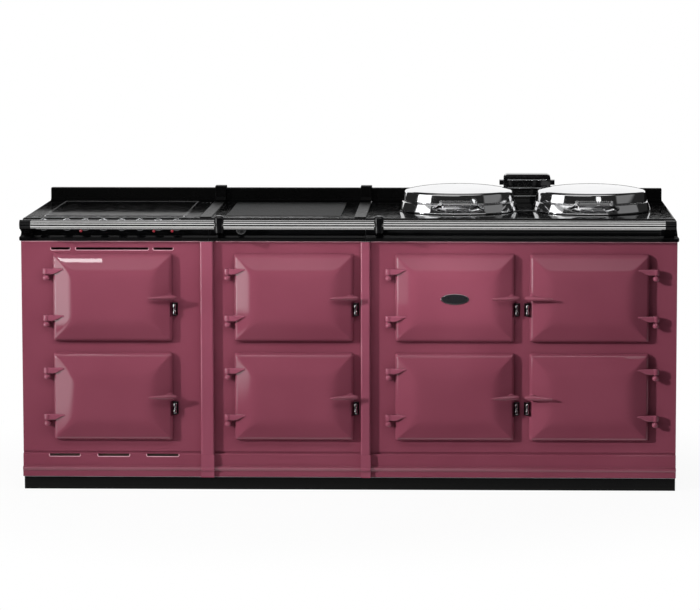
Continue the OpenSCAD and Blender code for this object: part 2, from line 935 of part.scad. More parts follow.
module door_lug() {
    intersection() {
        translate([0, 0, -lug_h / 2 - 1]) linear_extrude(lug_h + 2) polygon(strap_outline());
        along_y(-2 * pivot_front, pivot_front) polygon([
            [-1, -lug_h / 2],
            [pivot_out, -lug_h / 2],
            [pivot_out + strap_len + 1, lug_h / 6],
            [pivot_out + strap_len + 1, lug_h / 2],
            [-1, lug_h / 2]
        ]);
    }
    translate([0, 0, -lug_h / 2]) cylinder(h = lug_h, r = lug_r);
}

module door_slab(w, h, r, ya, yb) {
    along_y(ya, yb) round_rect(w, h, r, $fn = 32);
}

module door_casting() {
    crown_in = 2 * bevel_w;
    difference() {
        union() {
            hull() {
                door_slab(door_w, door_h, door_r, door_gap - rim_out + 2, -door_gap);
                door_slab(door_w - 6, door_h - 6, door_r - 3, -rim_out, door_gap - rim_out + 2);
                door_slab(door_w - crown_in, door_h - crown_in, 3, -crown_out, 1 - crown_out);
            }
            for (z = lug_z) {
                translate([-door_w / 2 - pivot_out, -pivot_front, z]) door_lug();
            }
            bar([door_w / 2 - heel_in, -rim_out + 2, handle_dz], [door_w / 2 - heel_in, -seat_out, handle_dz], 9, 9);
        }
        for (z = lug_z) {
            translate([-door_w / 2 - pivot_out, -pivot_front, z - lug_h / 2 - 1]) {
                cylinder(h = lug_h - 3, r = pin_r + pin_fit);
            }
        }
        block(
            [door_w / 2 - 7.5, -rim_out - 8, -catch_drop - roller_len / 2 - 6],
            [door_w / 2 + 1, 0, -catch_drop + roller_len / 2 + 6]
        );
    }
}

// A bar along +Z from the origin, of radius ra there and a round end of radius rb at length
module round_ended_bar(length, ra, rb) {
    rotate_extrude() {
        difference() {
            union() {
                polygon([[0, 0], [ra, 0], [rb, length - rb], [0, length - rb]]);
                translate([0, length - rb]) circle(rb);
            }
            translate([-2 * ra, -ra]) square([2 * ra, length + 2 * ra]);
        }
    }
}

// A handle for a door hinged at its left edge (hand 1) or at its right edge (hand -1)
module door_handle(hand) {
    tongue_r = heel_r - 2;
    lever = [grip_in - heel_in, grip_out - heel_out];
    translate([hand * (door_w / 2 - heel_in), -seat_out, handle_dz]) {
        rotate([90, 0, 0]) translate([0, 0, seat_gap]) {
            cylinder(h = heel_out - seat_out - seat_gap, r = heel_r - 1);
        }
        translate([0, seat_out - heel_out, 0]) {
            sphere(heel_r + 0.5, $fn = 32);
            rotate([0, -90 * hand, hand * atan(lever[1] / lever[0])]) round_ended_bar(norm(lever) + tip_r, heel_r, tip_r);
            rotate([0, 90 * hand, hand * atan(8 / (heel_in + tongue_past))]) {
                round_ended_bar(norm([heel_in + tongue_past, 8]), heel_r - 1, tongue_r);
            }
        }
    }
}

module door(c, r) {
    color("#8a4654") translate([door_x[c], 0, door_z[r]]) {
        handed(door_hand[c]) door_casting();
        door_handle(door_hand[c]);
    }
}

module door_liner(c, r) {
    w = mouth_w - 2 * liner_gap;
    h = mouth_h - 2 * liner_gap;
    color("#a5a7a9") translate([door_x[c], 0, door_z[r]]) {
        difference() {
            along_y(-door_gap, liner_in) round_rect(w, h, 6);
            block([liner_t - w / 2, -door_gap - 1, liner_t - h / 2], [w / 2 - liner_t, liner_in - liner_t, h / 2 - liner_t]);
        }
        along_y(-door_gap, -seal_gap) difference() {
            round_rect(mouth_w + 6 + 2 * seal_w, mouth_h + 6 + 2 * seal_w, 12);
            round_rect(mouth_w + 6, mouth_h + 6, 8);
        }
    }
}

module badge_plate() {
    color("#2a2a2c") translate([door_x[CENTRE], 0, door_z[UPPER]]) {
        along_y(-crown_out - badge_t, -crown_out) round_rect(badge_w, badge_h, badge_h / 2 - 0.1);
    }
}

module hinge_brackets() {
    color("#8a4654") each_door() {
        for (z = lug_z) {
            translate([-door_w / 2 - pivot_out, -pivot_front, z - bracket_drop]) {
                cylinder(h = bracket_h, r = bracket_r);
                translate([-9, 0, 0]) cube([18, pivot_front, bracket_h]);
                cylinder(h = bracket_h + pin_len, r = pin_r);
            }
        }
    }
}

module door_catches() {
    ear_z = roller_len / 2 + 0.3;
    color("#3d3f42") each_door() {
        translate([door_w / 2 + catch_past, 0, -catch_drop]) {
            block([-8, -catch_t, -ear_z - 3], [10, 0, ear_z + 3]);
            for (z = [-ear_z - 3, ear_z]) {
                block([-6, -rim_out + 2, z], [6, -catch_t, z + 3]);
            }
            translate([0, -catch_t - roller_r - 6, -roller_len / 2]) rotate_extrude() polygon([
                [0, 0],
                [roller_r - 1.5, 0],
                [roller_r, 2],
                [roller_r, roller_len * 0.36],
                [roller_r - 1.5, roller_len * 0.44],
                [roller_r - 1.5, roller_len * 0.56],
                [roller_r, roller_len * 0.64],
                [roller_r, roller_len - 2],
                [roller_r - 1.5, roller_len],
                [0, roller_len]
            ]);
        }
    }
}

// ---- knobs ----

// A knob of bezel diameter d with its shaft, turning about Y
module knob(x, drop, d) {
    color("#26272a") translate([x, 0, hob_h - drop]) rotate([90, 0, 0]) {
        rotate_extrude() polygon([
            [0, -panel_t - 4],
            [shaft_r, -panel_t - 4],
            [shaft_r, 0],
            [d / 2 - 1, 0],
            [d / 2, 1],
            [d / 2, 4],
            [d / 2 - 2, 5],
            [d / 2 - 5, 6],
            [d / 2 - 6, knob_out - 8],
            [d / 2 - 8, knob_out - 5],
            [0, knob_out - 5]
        ]);
        translate([-3, 6 - d / 2, 6]) cube([6, d - 12, knob_out - 6]);
    }
}

// ---- lids: drawn round the lid's axis, from the hob surface up ----

module lid_frame(i) {
    translate([lid_x[i], lid_y, hob_h]) children();
}

module lid(i) {
    color("#cfd1d3") lid_frame(i) difference() {
        union() {
            rotate_extrude($fn = 96) polygon([
                [lid_r, lid_gap],
                [lid_r, lid_gap + 3],
                [lid_r - 9, 31],
                [lid_r - 11.5, 32],
                [lid_r - 11.5, 34],
                [lid_r - 10.5, 35],
                [lid_r - 16, 58],
                [lid_r - 18.5, 63],
                [lid_r - 24, 66],
                [lid_r - 45, lid_h - 11],
                [lid_r - 90, lid_h - 5],
                [lid_r - 140, lid_h - 1],
                [0, lid_h],
                [0, lid_h - lid_t],
                [lid_r - 140, lid_h - lid_t - 1],
                [lid_r - 90, lid_h - lid_t - 5],
                [lid_r - 46, lid_h - lid_t - 11],
                [lid_r - 25, 66 - lid_t],
                [lid_r - 21, 57],
                [lid_r - 15, 33],
                [lid_r - 9, 19],
                [lid_r - 19, 19],
                [lid_r - 19, 16],
                [lid_r - 7.5, 16],
                [lid_r - lid_t - 1, lid_gap + 3],
                [lid_r - lid_t - 1, lid_gap]
            ]);
            block([-lid_knuckle_len / 2, lid_r - 12, 14], [lid_knuckle_len / 2, lid_pivot_y, lid_pivot_up + 8]);
            translate([-lid_knuckle_len / 2, lid_pivot_y, lid_pivot_up]) rotate([0, 90, 0]) {
                cylinder(h = lid_knuckle_len, r = lid_knuckle_r);
            }
        }
        translate([-lid_knuckle_len, lid_pivot_y, lid_pivot_up]) rotate([0, 90, 0]) {
            cylinder(h = 2 * lid_knuckle_len, r = lid_pin_r + pin_fit);
        }
    }
}

module lid_liner(i) {
    color("#a5a7a9") lid_frame(i) rotate_extrude($fn = 96) polygon([
        [0, 10],
        [lid_r - 29, 10],
        [lid_r - 23, 13],
        [lid_r - 13, 13],
        [lid_r - 13, 16],
        [lid_r - 25, 16],
        [lid_r - 30, 12.5],
        [0, 12.5]
    ]);
}

module lid_hinges() {
    color("#a5a7a9") for (x = lid_x) {
        translate([x, lid_y + lid_pivot_y, hob_h]) {
            reach = lid_knuckle_len / 2 + ear_gap;
            block([-reach - ear_w, -ear_r - 2, 0], [reach + ear_w, ear_r + 4, ear_foot_t]);
            for (a = [-reach - ear_w, reach]) {
                block([a, -ear_r, 0], [a + ear_w, ear_r, lid_pivot_up]);
                translate([a, 0, lid_pivot_up]) rotate([0, 90, 0]) cylinder(h = ear_w, r = ear_r);
            }
            translate([-reach - ear_w, 0, lid_pivot_up]) rotate([0, 90, 0]) {
                cylinder(h = 2 * (reach + ear_w), r = lid_pin_r);
            }
        }
    }
}

// The coil grip's centre line. On the unrolled cylinder it is a straight slope,
// then at each end a bend of radius coil_bend that turns it along the axis.
COIL_STEPS = 8;
coil_bend = 4;
coil_half = grip_len / 2;
coil_run = coil_half - wire_d - coil_bend;
coil_pitch = 2 * coil_run / grip_turns;
coil_slope = atan(coil_pitch / (2 * PI * grip_r));
coil_end_s = PI * grip_r * grip_turns;
coil_bend_points = [
    for (a = [coil_slope + (90 - coil_slope) / 3, coil_slope + (90 - coil_slope) * 2 / 3, 90])
        [coil_run + coil_bend * (cos(coil_slope) - cos(a)), coil_end_s + coil_bend * (sin(a) - sin(coil_slope))]
];
coil_tail = [coil_half, coil_end_s + coil_bend * (1 - sin(coil_slope))];
coil_flat = concat(
    [-coil_tail],
    [for (i = [2:-1:0]) -coil_bend_points[i]],
    [
        for (i = [0:COIL_STEPS * grip_turns])
            let (t = 2 * i / (COIL_STEPS * grip_turns) - 1) [coil_run * t, coil_end_s * t]
    ],
    coil_bend_points,
    [coil_tail]
);
// A point of the unrolled cylinder put back on it, at radius r
function on_coil(p, r) =
    let (a = p[1] / grip_r * 180 / PI) [p[0], -r * cos(a), r * sin(a)];
coil_path = [for (p = coil_flat) on_coil(p, grip_r)];
coil_last = len(coil_path) - 1;
// The least distance between two stretches of the wire more than half a turn apart
coil_clear = min([
    for (i = [0:coil_last - 5], j = [i + 5:min(i + 12, coil_last)])
        norm(coil_path[i] - coil_path[j])
]) - wire_d;

function unit(v) = v / norm(v);

// The ring of six points round point i of the coil's centre line
function coil_ring(i) =
    let (
        t = i == 0 || i == coil_last ? [1, 0, 0] : unit(coil_path[i + 1] - coil_path[i - 1]),
        out = unit(coil_path[i] - [coil_path[i][0], 0, 0]),
        n = unit(out - t * (out * t)),
        b = cross(t, n)
    )
    [for (k = [0:5]) coil_path[i] + wire_d / 2 * (cos(60 * k) * n + sin(60 * k) * b)];

module grip_coil() {
    echo(least_gap_of_the_coil_grip_mm = coil_clear);
    polyhedron(
        points = [for (i = [0:coil_last]) each coil_ring(i)],
        faces = concat(
            [for (k = [1:4]) [0, k, k + 1]],
            [for (k = [1:4]) let (e = 6 * coil_last) [e, e + k + 1, e + k]],
            [
                for (i = [0:coil_last - 1], k = [0:5])
                    let (a = 6 * i + k, b = 6 * i + (k + 1) % 6)
                        each [[a, a + 6, b], [b, a + 6, b + 6]]
            ]
        ),
        convexity = 10
    );
}

module lid_handle(i) {
    grip_y = -lid_r - grip_front;
    foot_out = lid_r - 2;
    color("#cfd1d3") lid_frame(i) {
        translate([0, grip_y, grip_up]) {
            grip_coil();
            bar([-coil_half - 2, 0, 0], [coil_half + 2, 0, 0], core_r, core_r);
        }
        for (s = [-1, 1]) {
            translate([0, grip_y, grip_up]) {
                bar([s * coil_half, 0, 0], [s * (coil_half + boss_t), 0, 0], boss_r, boss_r - 1);
            }
            bar(
                [s * (coil_half + boss_t / 2), grip_y, grip_up],
                [s * foot_out * sin(foot_angle), -foot_out * cos(foot_angle), foot_up],
                arm_r, arm_r
            );
            rotate([0, 0, s * foot_angle]) translate([0, -lid_r - 1, foot_up]) rotate([-90, 0, 0]) {
                cylinder(h = 9.5, r = foot_r);
            }
        }
    }
}

// ---- nodes ----

place() plinth();
place() chassis();
place() levelling_feet();
place() side_panels();
place() base_moulding();
place() joint_posts();
place() front_left();
union() {  // front_middle
    place() front_panel(x1 + casting_gap / 2, x2 - casting_gap / 2, [MIDDLE]);
}
union() {  // front_right
    place() front_panel(x2 + casting_gap / 2, x3, [CENTRE, RIGHT]);
}
place() top_left();
place() top_middle();
place() top_right();
place() upstand();
place() handrails();
place() rail_brackets();
place() flue_cowl();
place() glass_hob();
place() warming_plate();
place() hotplates();
place() heating_elements();
place() oven_shelves();
place() hinge_brackets();
place() door_catches();
place() lid_hinges();
place() ovens(LEFT);  // ovens_left
place() ovens(MIDDLE);  // ovens_middle
place() ovens(CENTRE);  // ovens_centre
place() ovens(RIGHT);  // ovens_right
place() door(LEFT, LOWER);  // door_left_lower
place() door(LEFT, UPPER);  // door_left_upper
place() door(MIDDLE, LOWER);  // door_middle_lower
place() door(MIDDLE, UPPER);  // door_middle_upper
place() door(CENTRE, LOWER);  // door_centre_lower
place() door(CENTRE, UPPER);  // door_centre_upper
place() door(RIGHT, LOWER);  // door_right_lower
place() door(RIGHT, UPPER);  // door_right_upper
place() door_liner(LEFT, LOWER);  // door_liner_left_lower
place() door_liner(LEFT, UPPER);  // door_liner_left_upper
place() door_liner(MIDDLE, LOWER);  // door_liner_middle_lower
place() door_liner(MIDDLE, UPPER);  // door_liner_middle_upper
place() door_liner(CENTRE, LOWER);  // door_liner_centre_lower
place() door_liner(CENTRE, UPPER);  // door_liner_centre_upper
place() door_liner(RIGHT, LOWER);  // door_liner_right_lower
place() door_liner(RIGHT, UPPER);  // door_liner_right_upper
place() badge_plate();
place() knob(middle_mid + dial_x, dial_drop, dial_d);  // control_dial
place() knob(knob_xs[0], knob_drop, knob_d);  // hob_knob_1
place() knob(knob_xs[1], knob_drop, knob_d);  // hob_knob_2
place() knob(knob_xs[2], knob_drop, knob_d);  // hob_knob_3
place() knob(knob_xs[3], knob_drop, knob_d);  // hob_knob_4
place() knob(knob_xs[4], knob_drop, knob_d);  // hob_knob_5
place() knob(knob_xs[5], knob_drop, knob_d);  // hob_knob_6
place() knob(knob_xs[6], knob_drop, knob_d);  // hob_knob_7
place() knob(knob_xs[7], knob_drop, knob_d);  // hob_knob_8
place() lid(0);  // lid_left
place() lid(1);  // lid_right
place() lid_liner(0);  // lid_liner_left
place() lid_liner(1);  // lid_liner_right
place() lid_handle(0);  // lid_handle_left
place() lid_handle(1);  // lid_handle_right
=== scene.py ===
"""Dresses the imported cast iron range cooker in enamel, chrome, glass and iron."""
import json
import logging
import math
from dataclasses import dataclass, field
from enum import Enum
from functools import cached_property
from typing import Iterable, Sequence

import bmesh
import bpy
import numpy as np
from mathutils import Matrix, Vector

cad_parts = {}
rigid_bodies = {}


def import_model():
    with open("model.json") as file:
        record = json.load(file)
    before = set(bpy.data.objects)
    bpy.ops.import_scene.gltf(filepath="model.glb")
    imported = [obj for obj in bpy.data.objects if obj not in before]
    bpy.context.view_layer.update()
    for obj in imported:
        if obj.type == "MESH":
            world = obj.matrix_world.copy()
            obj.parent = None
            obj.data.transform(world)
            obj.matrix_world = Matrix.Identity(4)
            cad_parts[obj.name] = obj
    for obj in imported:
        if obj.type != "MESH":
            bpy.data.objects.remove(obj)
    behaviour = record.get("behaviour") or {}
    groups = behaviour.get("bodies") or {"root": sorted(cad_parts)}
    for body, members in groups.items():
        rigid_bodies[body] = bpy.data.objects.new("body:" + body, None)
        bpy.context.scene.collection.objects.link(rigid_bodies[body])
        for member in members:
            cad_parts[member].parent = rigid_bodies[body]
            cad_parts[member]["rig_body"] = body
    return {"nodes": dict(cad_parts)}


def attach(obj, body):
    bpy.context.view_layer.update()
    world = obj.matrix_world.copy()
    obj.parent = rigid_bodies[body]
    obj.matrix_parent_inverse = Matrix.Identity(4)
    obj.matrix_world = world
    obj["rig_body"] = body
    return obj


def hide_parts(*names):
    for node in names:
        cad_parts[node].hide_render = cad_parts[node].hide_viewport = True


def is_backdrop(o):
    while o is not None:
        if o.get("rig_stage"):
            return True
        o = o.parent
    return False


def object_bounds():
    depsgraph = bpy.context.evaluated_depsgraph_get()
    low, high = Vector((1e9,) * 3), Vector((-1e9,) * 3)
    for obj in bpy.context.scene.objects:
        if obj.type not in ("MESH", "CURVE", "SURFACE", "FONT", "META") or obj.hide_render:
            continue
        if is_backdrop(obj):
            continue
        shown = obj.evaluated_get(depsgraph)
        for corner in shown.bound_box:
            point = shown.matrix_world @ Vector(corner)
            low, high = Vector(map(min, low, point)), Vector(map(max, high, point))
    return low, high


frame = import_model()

LOG = logging.getLogger("cooker")
Colour = tuple[float, float, float, float]
Triple = tuple[float, float, float]
Rows = Sequence[Sequence[float]]
Spans = tuple[tuple[float, float], ...]
Socket = bpy.types.NodeSocket
WHITE = (1, 1, 1, 1)

# A millimetre in metres, and the angle in degrees past which an edge stays sharp.
MM, CREASE = 0.001, 32.0
# The front panels' face, the hob's top, and the panels' top and foot, in millimetres.
PANEL_Y, HOB_Z, TOP_Z, SKIRT_Z = -273.5, 873.0, 800.0, 46.0


class Column(Enum):
    """The four columns of doors, each with its middle and the side of its hinges."""

    LEFT = ("left", -749.0, 1)
    MIDDLE = ("middle", -173.5, 1)
    CENTRE = ("centre", 337.0, 1)
    RIGHT = ("right", 763.0, -1)

    @property
    def x(self) -> float:
        """The column's middle, in millimetres."""
        return self.value[1]

    @property
    def hand(self) -> int:
        """1 where the doors hinge at their left edge, -1 at their right edge."""
        return self.value[2]


class Row(Enum):
    """The two rows of doors, each with the height of its middle."""

    LOWER = ("lower", 304.5)
    UPPER = ("upper", 621.5)

    @property
    def z(self) -> float:
        """The row's middle, in millimetres."""
        return self.value[1]


# Surfaces


@dataclass
class Shell:
    """A surface in millimetres: its points, and its faces as rows of point numbers."""

    points: np.ndarray
    faces: list[np.ndarray]

    def moved(self, x: float = 0.0, y: float = 0.0, z: float = 0.0) -> "Shell":
        """The same surface, carried along by x, y and z."""
        return Shell(self.points + np.array([x, y, z]), self.faces)

    def turned(self, axis: Sequence[float], degrees: float) -> "Shell":
        """The same surface, turned about an axis through the origin.

        The turn is Rodrigues' formula: R = I + sin(a) K + (1 - cos(a)) K K,
        where K is the axis's cross product matrix.

        Args:
            axis: the direction of the axis.
            degrees: the angle, anticlockwise as the axis points at the viewer.

        Returns:
            A new surface.
        """
        x, y, z = np.array(axis, float) / np.linalg.norm(axis)
        cross = np.array([[0, -z, y], [z, 0, -x], [-y, x, 0]])
        angle = math.radians(degrees)
        turn = np.eye(3) + math.sin(angle) * cross + (1 - math.cos(angle)) * cross @ cross
        return Shell(self.points @ turn.T, self.faces)

    def handed(self, hand: int) -> "Shell":
        """The same surface, mirrored left to right where hand is -1."""
        if hand > 0:
            return self
        return Shell(self.points * np.array([-1.0, 1.0, 1.0]), [f[:, ::-1] for f in self.faces])

    def outward(self) -> "Shell":
        """The same closed surface with its faces pointing out.

        The volume is the sum over fans of triangles of a . (b x c) / 6, and the
        faces are reversed where it comes out negative.
        """
        volume = 0.0
        for rows in self.faces:
            a = self.points[rows[:, 0]]
            for k in range(1, rows.shape[1] - 1):
                b, c = self.points[rows[:, k]], self.points[rows[:, k + 1]]
                volume += float(np.einsum("ij,ij->", a, np.cross(b, c)))
        if volume >= 0:
            return self
        return Shell(self.points, [f[:, ::-1] for f in self.faces])


def columns(*parts: np.ndarray | float) -> np.ndarray:
    """Coordinates stretched to one shape and set side by side, as points."""
    return np.stack(np.broadcast_arrays(*parts), -1)


def joined(shells: Iterable[Shell]) -> Shell:
    """Several surfaces as one, side by side."""
    points, faces, start = [], [], 0
    for shell in shells:
        points.append(shell.points)
        faces.extend(rows + start for rows in shell.faces)
        start += len(shell.points)
    return Shell(np.vstack(points), faces)


def grid_faces(rows: int, around: int, wrap: bool) -> np.ndarray:
    """The quads of a grid of points, each row of which may close on itself.

    Args:
        rows: how many rows the grid has.
        around: how many points each row has.
        wrap: True if a row's last point is followed by its first.

    Returns:
        The faces, as rows of four point numbers.
    """
    i, j = np.meshgrid(np.arange(rows - 1), np.arange(around if wrap else around - 1), indexing="ij")
    here, after = i * around + j, i * around + (j + 1) % around
    quads = columns(here, here + around, after + around, after)
    return quads.reshape(-1, 4)


def lofted(rings: np.ndarray) -> Shell:
    """A closed body through rings of points, with its two end rings capped.

    Args:
        rings: an array of rings by points by three.

    Returns:
        The body, with its faces pointing out.
    """
    count, around = rings.shape[:2]
    first = np.arange(around)[None, :]
    faces = [grid_faces(count, around, True), first, first[:, ::-1] + (count - 1) * around]
    return Shell(rings.reshape(-1, 3), faces).outward()


def softened(line: Rows, radius: float, steps: int) -> np.ndarray:
    """A polyline with each corner between its ends rounded.

    A corner p is replaced by the curve (1-t)^2 a + 2 t (1-t) p + t^2 b, where a
    and b lie on its two sides, a radius away or at most 0.48 of a side.

    Args:
        line: the corners, as rows of two numbers.
        radius: how far from a corner its curve starts.
        steps: the points on each curve.

    Returns:
        The points of the rounded line.
    """
    p = np.array(line, float)
    to_last, to_next = np.roll(p, 1, 0) - p, np.roll(p, -1, 0) - p
    len_last, len_next = np.linalg.norm(to_last, axis=1), np.linalg.norm(to_next, axis=1)
    cut = np.minimum(radius, 0.48 * np.minimum(len_last, len_next))[:, None]
    a = p + to_last / len_last[:, None] * cut
    b = p + to_next / len_next[:, None] * cut
    t = np.linspace(0, 1, steps)[None, :, None]
    curve = (1 - t) ** 2 * a[:, None] + 2 * t * (1 - t) * p[:, None] + t**2 * b[:, None]
    return np.vstack([p[:1], curve[1:-1].reshape(-1, 2), p[-1:]])


def revolved(line: np.ndarray, sides: int) -> Shell:
    """A body of revolution about Z: the point at (r, h) goes to (r cos a, r sin a, h).

    Args:
        line: rows of radius and height, with both ends on the axis, at its poles.
        sides: the steps round the axis.

    Returns:
        The body, with its faces pointing out.
    """
    angle = np.linspace(0, 2 * math.pi, sides, endpoint=False)
    radius, height = line[1:-1, :1], line[1:-1, 1:]
    rings = columns(radius * np.cos(angle), radius * np.sin(angle), height).reshape(-1, 3)
    here, last = np.arange(sides), len(rings)
    after = (here + 1) % sides
    faces = [
        grid_faces(len(radius), sides, True),
        columns(here, after, last),
        columns(after + last - sides, here + last - sides, last + 1),
    ]
    return Shell(np.vstack([rings, columns(0.0, 0.0, line[[0, -1], 1])]), faces).outward()


def spun(corners: Rows, radius: float, steps: int, sides: int) -> Shell:
    """A body of revolution about Z from the corners of its line, which are rounded first."""
    return revolved(softened(corners, radius, steps), sides)


def swept(path: np.ndarray, radius: np.ndarray | float, sides: int, across: np.ndarray) -> Shell:
    """A round bar along a path: p + r (cos a n + sin a b), with flat ends.

    The tangent t comes from the path's differences, n is the part of across
    that is square to t, and b = t x n.

    Args:
        path: the centre line's points.
        radius: one radius, or one for each point.
        sides: the points round the bar.
        across: a direction, or one for each point, that the path never follows.

    Returns:
        The bar, with its faces pointing out.
    """
    tangent = np.gradient(path, axis=0)
    tangent /= np.linalg.norm(tangent, axis=1)[:, None]
    across = np.broadcast_to(across, path.shape)
    normal = across - tangent * np.einsum("ij,ij->i", across, tangent)[:, None]
    normal /= np.linalg.norm(normal, axis=1)[:, None]
    binormal = np.cross(tangent, normal)
    angle = np.linspace(0, 2 * math.pi, sides, endpoint=False)[None, :, None]
    r = np.broadcast_to(radius, len(path)).reshape(-1, 1, 1)
    rings = path[:, None] + r * (np.cos(angle) * normal[:, None] + np.sin(angle) * binormal[:, None])
    return lofted(rings)


def round_rect(width: np.ndarray, height: np.ndarray, radius: np.ndarray, arc: int = 6) -> np.ndarray:
    """Rings of rectangles with round corners, centred on the origin.

    Each corner is an arc centre + r (cos a, sin a), and the points between two
    arcs are spread along the side, closer together near its ends.

    Args:
        width: one width for each ring.
        height: one height for each ring.
        radius: one corner radius for each ring.
        arc: the steps on each corner.

    Returns:
        An array of rings by points by two.
    """
    w, h, r = (np.atleast_1d(np.asarray(v, float))[:, None] for v in (width, height, radius))
    share = np.array([0.04, 0.15, 0.4, 0.6, 0.85, 0.96])[None, :, None]
    corners = []
    for k, (sx, sy) in enumerate(((1, 1), (-1, 1), (-1, -1), (1, -1))):
        a = np.radians(np.linspace(90 * k, 90 * k + 90, arc + 1))[None, :]
        corners.append(np.stack([sx * (w / 2 - r) + r * np.cos(a), sy * (h / 2 - r) + r * np.sin(a)], -1))
    parts = []
    for k in range(4):
        here, after = corners[k], corners[(k + 1) % 4]
        parts += [here, here[:, -1:] + share * (after[:, :1] - here[:, -1:])]
    return np.concatenate(parts, 1)


def box(low: Sequence[float], high: Sequence[float], radius: float = 1.0) -> Shell:
    """A box with rounded edges: rings of a rounded rectangle, drawn in at both ends.

    Args:
        low: the lowest corner.
        high: the highest corner.
        radius: the rounding.

    Returns:
        The box.
    """
    size = np.array(high, float) - np.array(low, float)
    a = np.radians(np.linspace(0, 90, 4))
    inset = radius * (1 - np.sin(a))
    height = radius * (1 - np.cos(a))
    inset, height = np.append(inset, inset[::-1]), np.append(height, size[2] - height[::-1])
    flat = round_rect(size[0] - 2 * inset, size[1] - 2 * inset, radius - 0.8 * inset, 3)
    rings = columns(flat[..., 0], flat[..., 1], height[:, None])
    middle = (np.array(low, float) + np.array(high, float)) / 2
    return lofted(rings).moved(middle[0], middle[1], low[2])


# Finishes


def tint(red: int, green: int, blue: int) -> Colour:
    """A screen colour of 0 to 255 as the linear colour that shaders take.

    Each channel c is c/12.92 below 0.04045 and ((c+0.055)/1.055)^2.4 above it.
    """
    channels = [v / 255 for v in (red, green, blue)]
    linear = [c / 12.92 if c <= 0.04045 else ((c + 0.055) / 1.055) ** 2.4 for c in channels]
    return (*linear, 1.0)


class Board:
    """The node tree of a material or a world, with short ways to add and join nodes."""

    def __init__(self, name: str, world: bool = False) -> None:
        """Starts a material, or a world, with an empty tree and its output."""
        self.owner = (bpy.data.worlds if world else bpy.data.materials).new(name)
        self.owner.use_nodes = True
        self.tree = self.owner.node_tree
        self.tree.nodes.clear()
        self.output = self.add("OutputWorld" if world else "OutputMaterial")

    @cached_property
    def place(self) -> Socket:
        """Where a point lies in the cooker's frame, in metres."""
        return self.add("TexCoord").outputs["Object"]
    def add(self, kind: str, inputs: dict | None = None, **settings: object) -> bpy.types.Node:
        """Adds a node.

        Args:
            kind: the node's type, without the words ShaderNode.
            inputs: numbers, colours or sockets for its inputs, by name or number.
            settings: its own settings.

        Returns:
            The node.
        """
        node = self.tree.nodes.new("ShaderNode" + kind)
        for name, value in settings.items():
            setattr(node, name, value)
        for name, value in (inputs or {}).items():
            if isinstance(value, bpy.types.NodeSocket):
                self.tree.links.new(value, node.inputs[name])
            else:
                node.inputs[name].default_value = value
        return node

    def noise(self, scale: float, detail: float = 2.0, stretch: Triple = (1, 1, 1)) -> Socket:
        """A noise from 0 to 1.

        Args:
            scale: its features a metre.
            detail: its finer layers.
            stretch: a factor for the scale along each axis.

        Returns:
            The socket of its value.
        """
        place = self.place
        if stretch != (1, 1, 1):
            place = self.add("Mapping", {"Vector": place, "Scale": stretch}).outputs[0]
        return self.add("TexNoise", {"Vector": place, "Scale": scale, "Detail": detail}).outputs["Fac"]

    def spread(self, value: Socket, low: float, high: float, start: float = 0.3, stop: float = 0.7) -> Socket:
        """Carries start..stop of a value to low..high, and holds it at the ends."""
        inputs = {"Value": value, "From Min": start, "From Max": stop, "To Min": low, "To Max": high}
        return self.add("MapRange", inputs, interpolation_type="SMOOTHSTEP").outputs[0]

    def sum(self, kind: str, *values: Socket | float) -> Socket:
        """One step of arithmetic, such as ADD or MULTIPLY, on sockets or numbers."""
        return self.add("Math", dict(enumerate(values)), operation=kind).outputs[0]

    def span(self, first: Socket, second: Socket) -> Socket:
        """The distance of a point from the origin: sqrt(first^2 + second^2)."""
        squares = (self.sum("MULTIPLY", side, side) for side in (first, second))
        return self.sum("SQRT", self.sum("ADD", *squares))

    def blend(self, share: Socket, first: Colour | Socket, second: Colour | Socket) -> Socket:
        """The first colour where share is 0 and the second where it is 1."""
        return self.add("Mix", {0: share, 6: first, 7: second}, data_type="RGBA").outputs[2]

    def bump(self, height: Socket, strength: float, depth: float, under: Socket | None = None) -> Socket:
        """A relief of the given height in metres, over another one if it is given."""
        inputs = {"Height": height, "Strength": strength, "Distance": depth}
        if under is not None:
            inputs["Normal"] = under
        return self.add("Bump", inputs).outputs[0]

    def end(self, shader: bpy.types.Node) -> bpy.types.Material | bpy.types.World:
        """Joins a shader to the output, and returns the material or the world."""
        self.tree.links.new(shader.outputs[0], self.output.inputs["Surface"])
        return self.owner

    def shade(self, **sockets: object) -> bpy.types.Material:
        """Ends the tree with a Principled shader, whose inputs are named with _ for a space."""
        named = {name.replace("_", " "): value for name, value in sockets.items()}
        return self.end(self.add("BsdfPrincipled", named))


@dataclass(frozen=True)
class Finish:
    """What every finish has: its material's name and the record's slot that it belongs to."""

    name: str
    slot: str

    def make(self) -> bpy.types.Material:
        """Makes the finish's material, each kind in its own way."""
        raise NotImplementedError


@dataclass(frozen=True)
class Enamel(Finish):
    """Glass enamel on cast iron: a deep colour that pools a little, under a clear wavy gloss."""

    colour: Colour
    pooled: Colour
    roughness: float = 0.3
    coat: float = 1.0
    wave: float = 0.02
    gloss: float = 0.5
    glow: float = 0.0

    def make(self) -> bpy.types.Material:
        """Colour from slow noise, gloss from finer noise, relief from the waviness of fired glass."""
        pools, grain, ripples, uneven = 4.0, 60.0, 14.0, 0.03
        b = Board(self.name)
        colour = b.blend(b.spread(b.noise(pools), 0.0, 1.0, 0.3, 0.8), self.colour, self.pooled)
        rough = b.spread(b.noise(grain, 3.0), self.roughness - uneven, self.roughness + uneven)
        relief = b.bump(b.noise(ripples, 1.0), self.wave, 0.004)
        return b.shade(
            Base_Color=colour, Roughness=rough, Normal=relief, Coat_Weight=self.coat,
            Coat_Roughness=0.035, Coat_IOR=1.52, Coat_Normal=relief, Specular_IOR_Level=self.gloss,
            Emission_Color=self.colour, Emission_Strength=self.glow,
        )


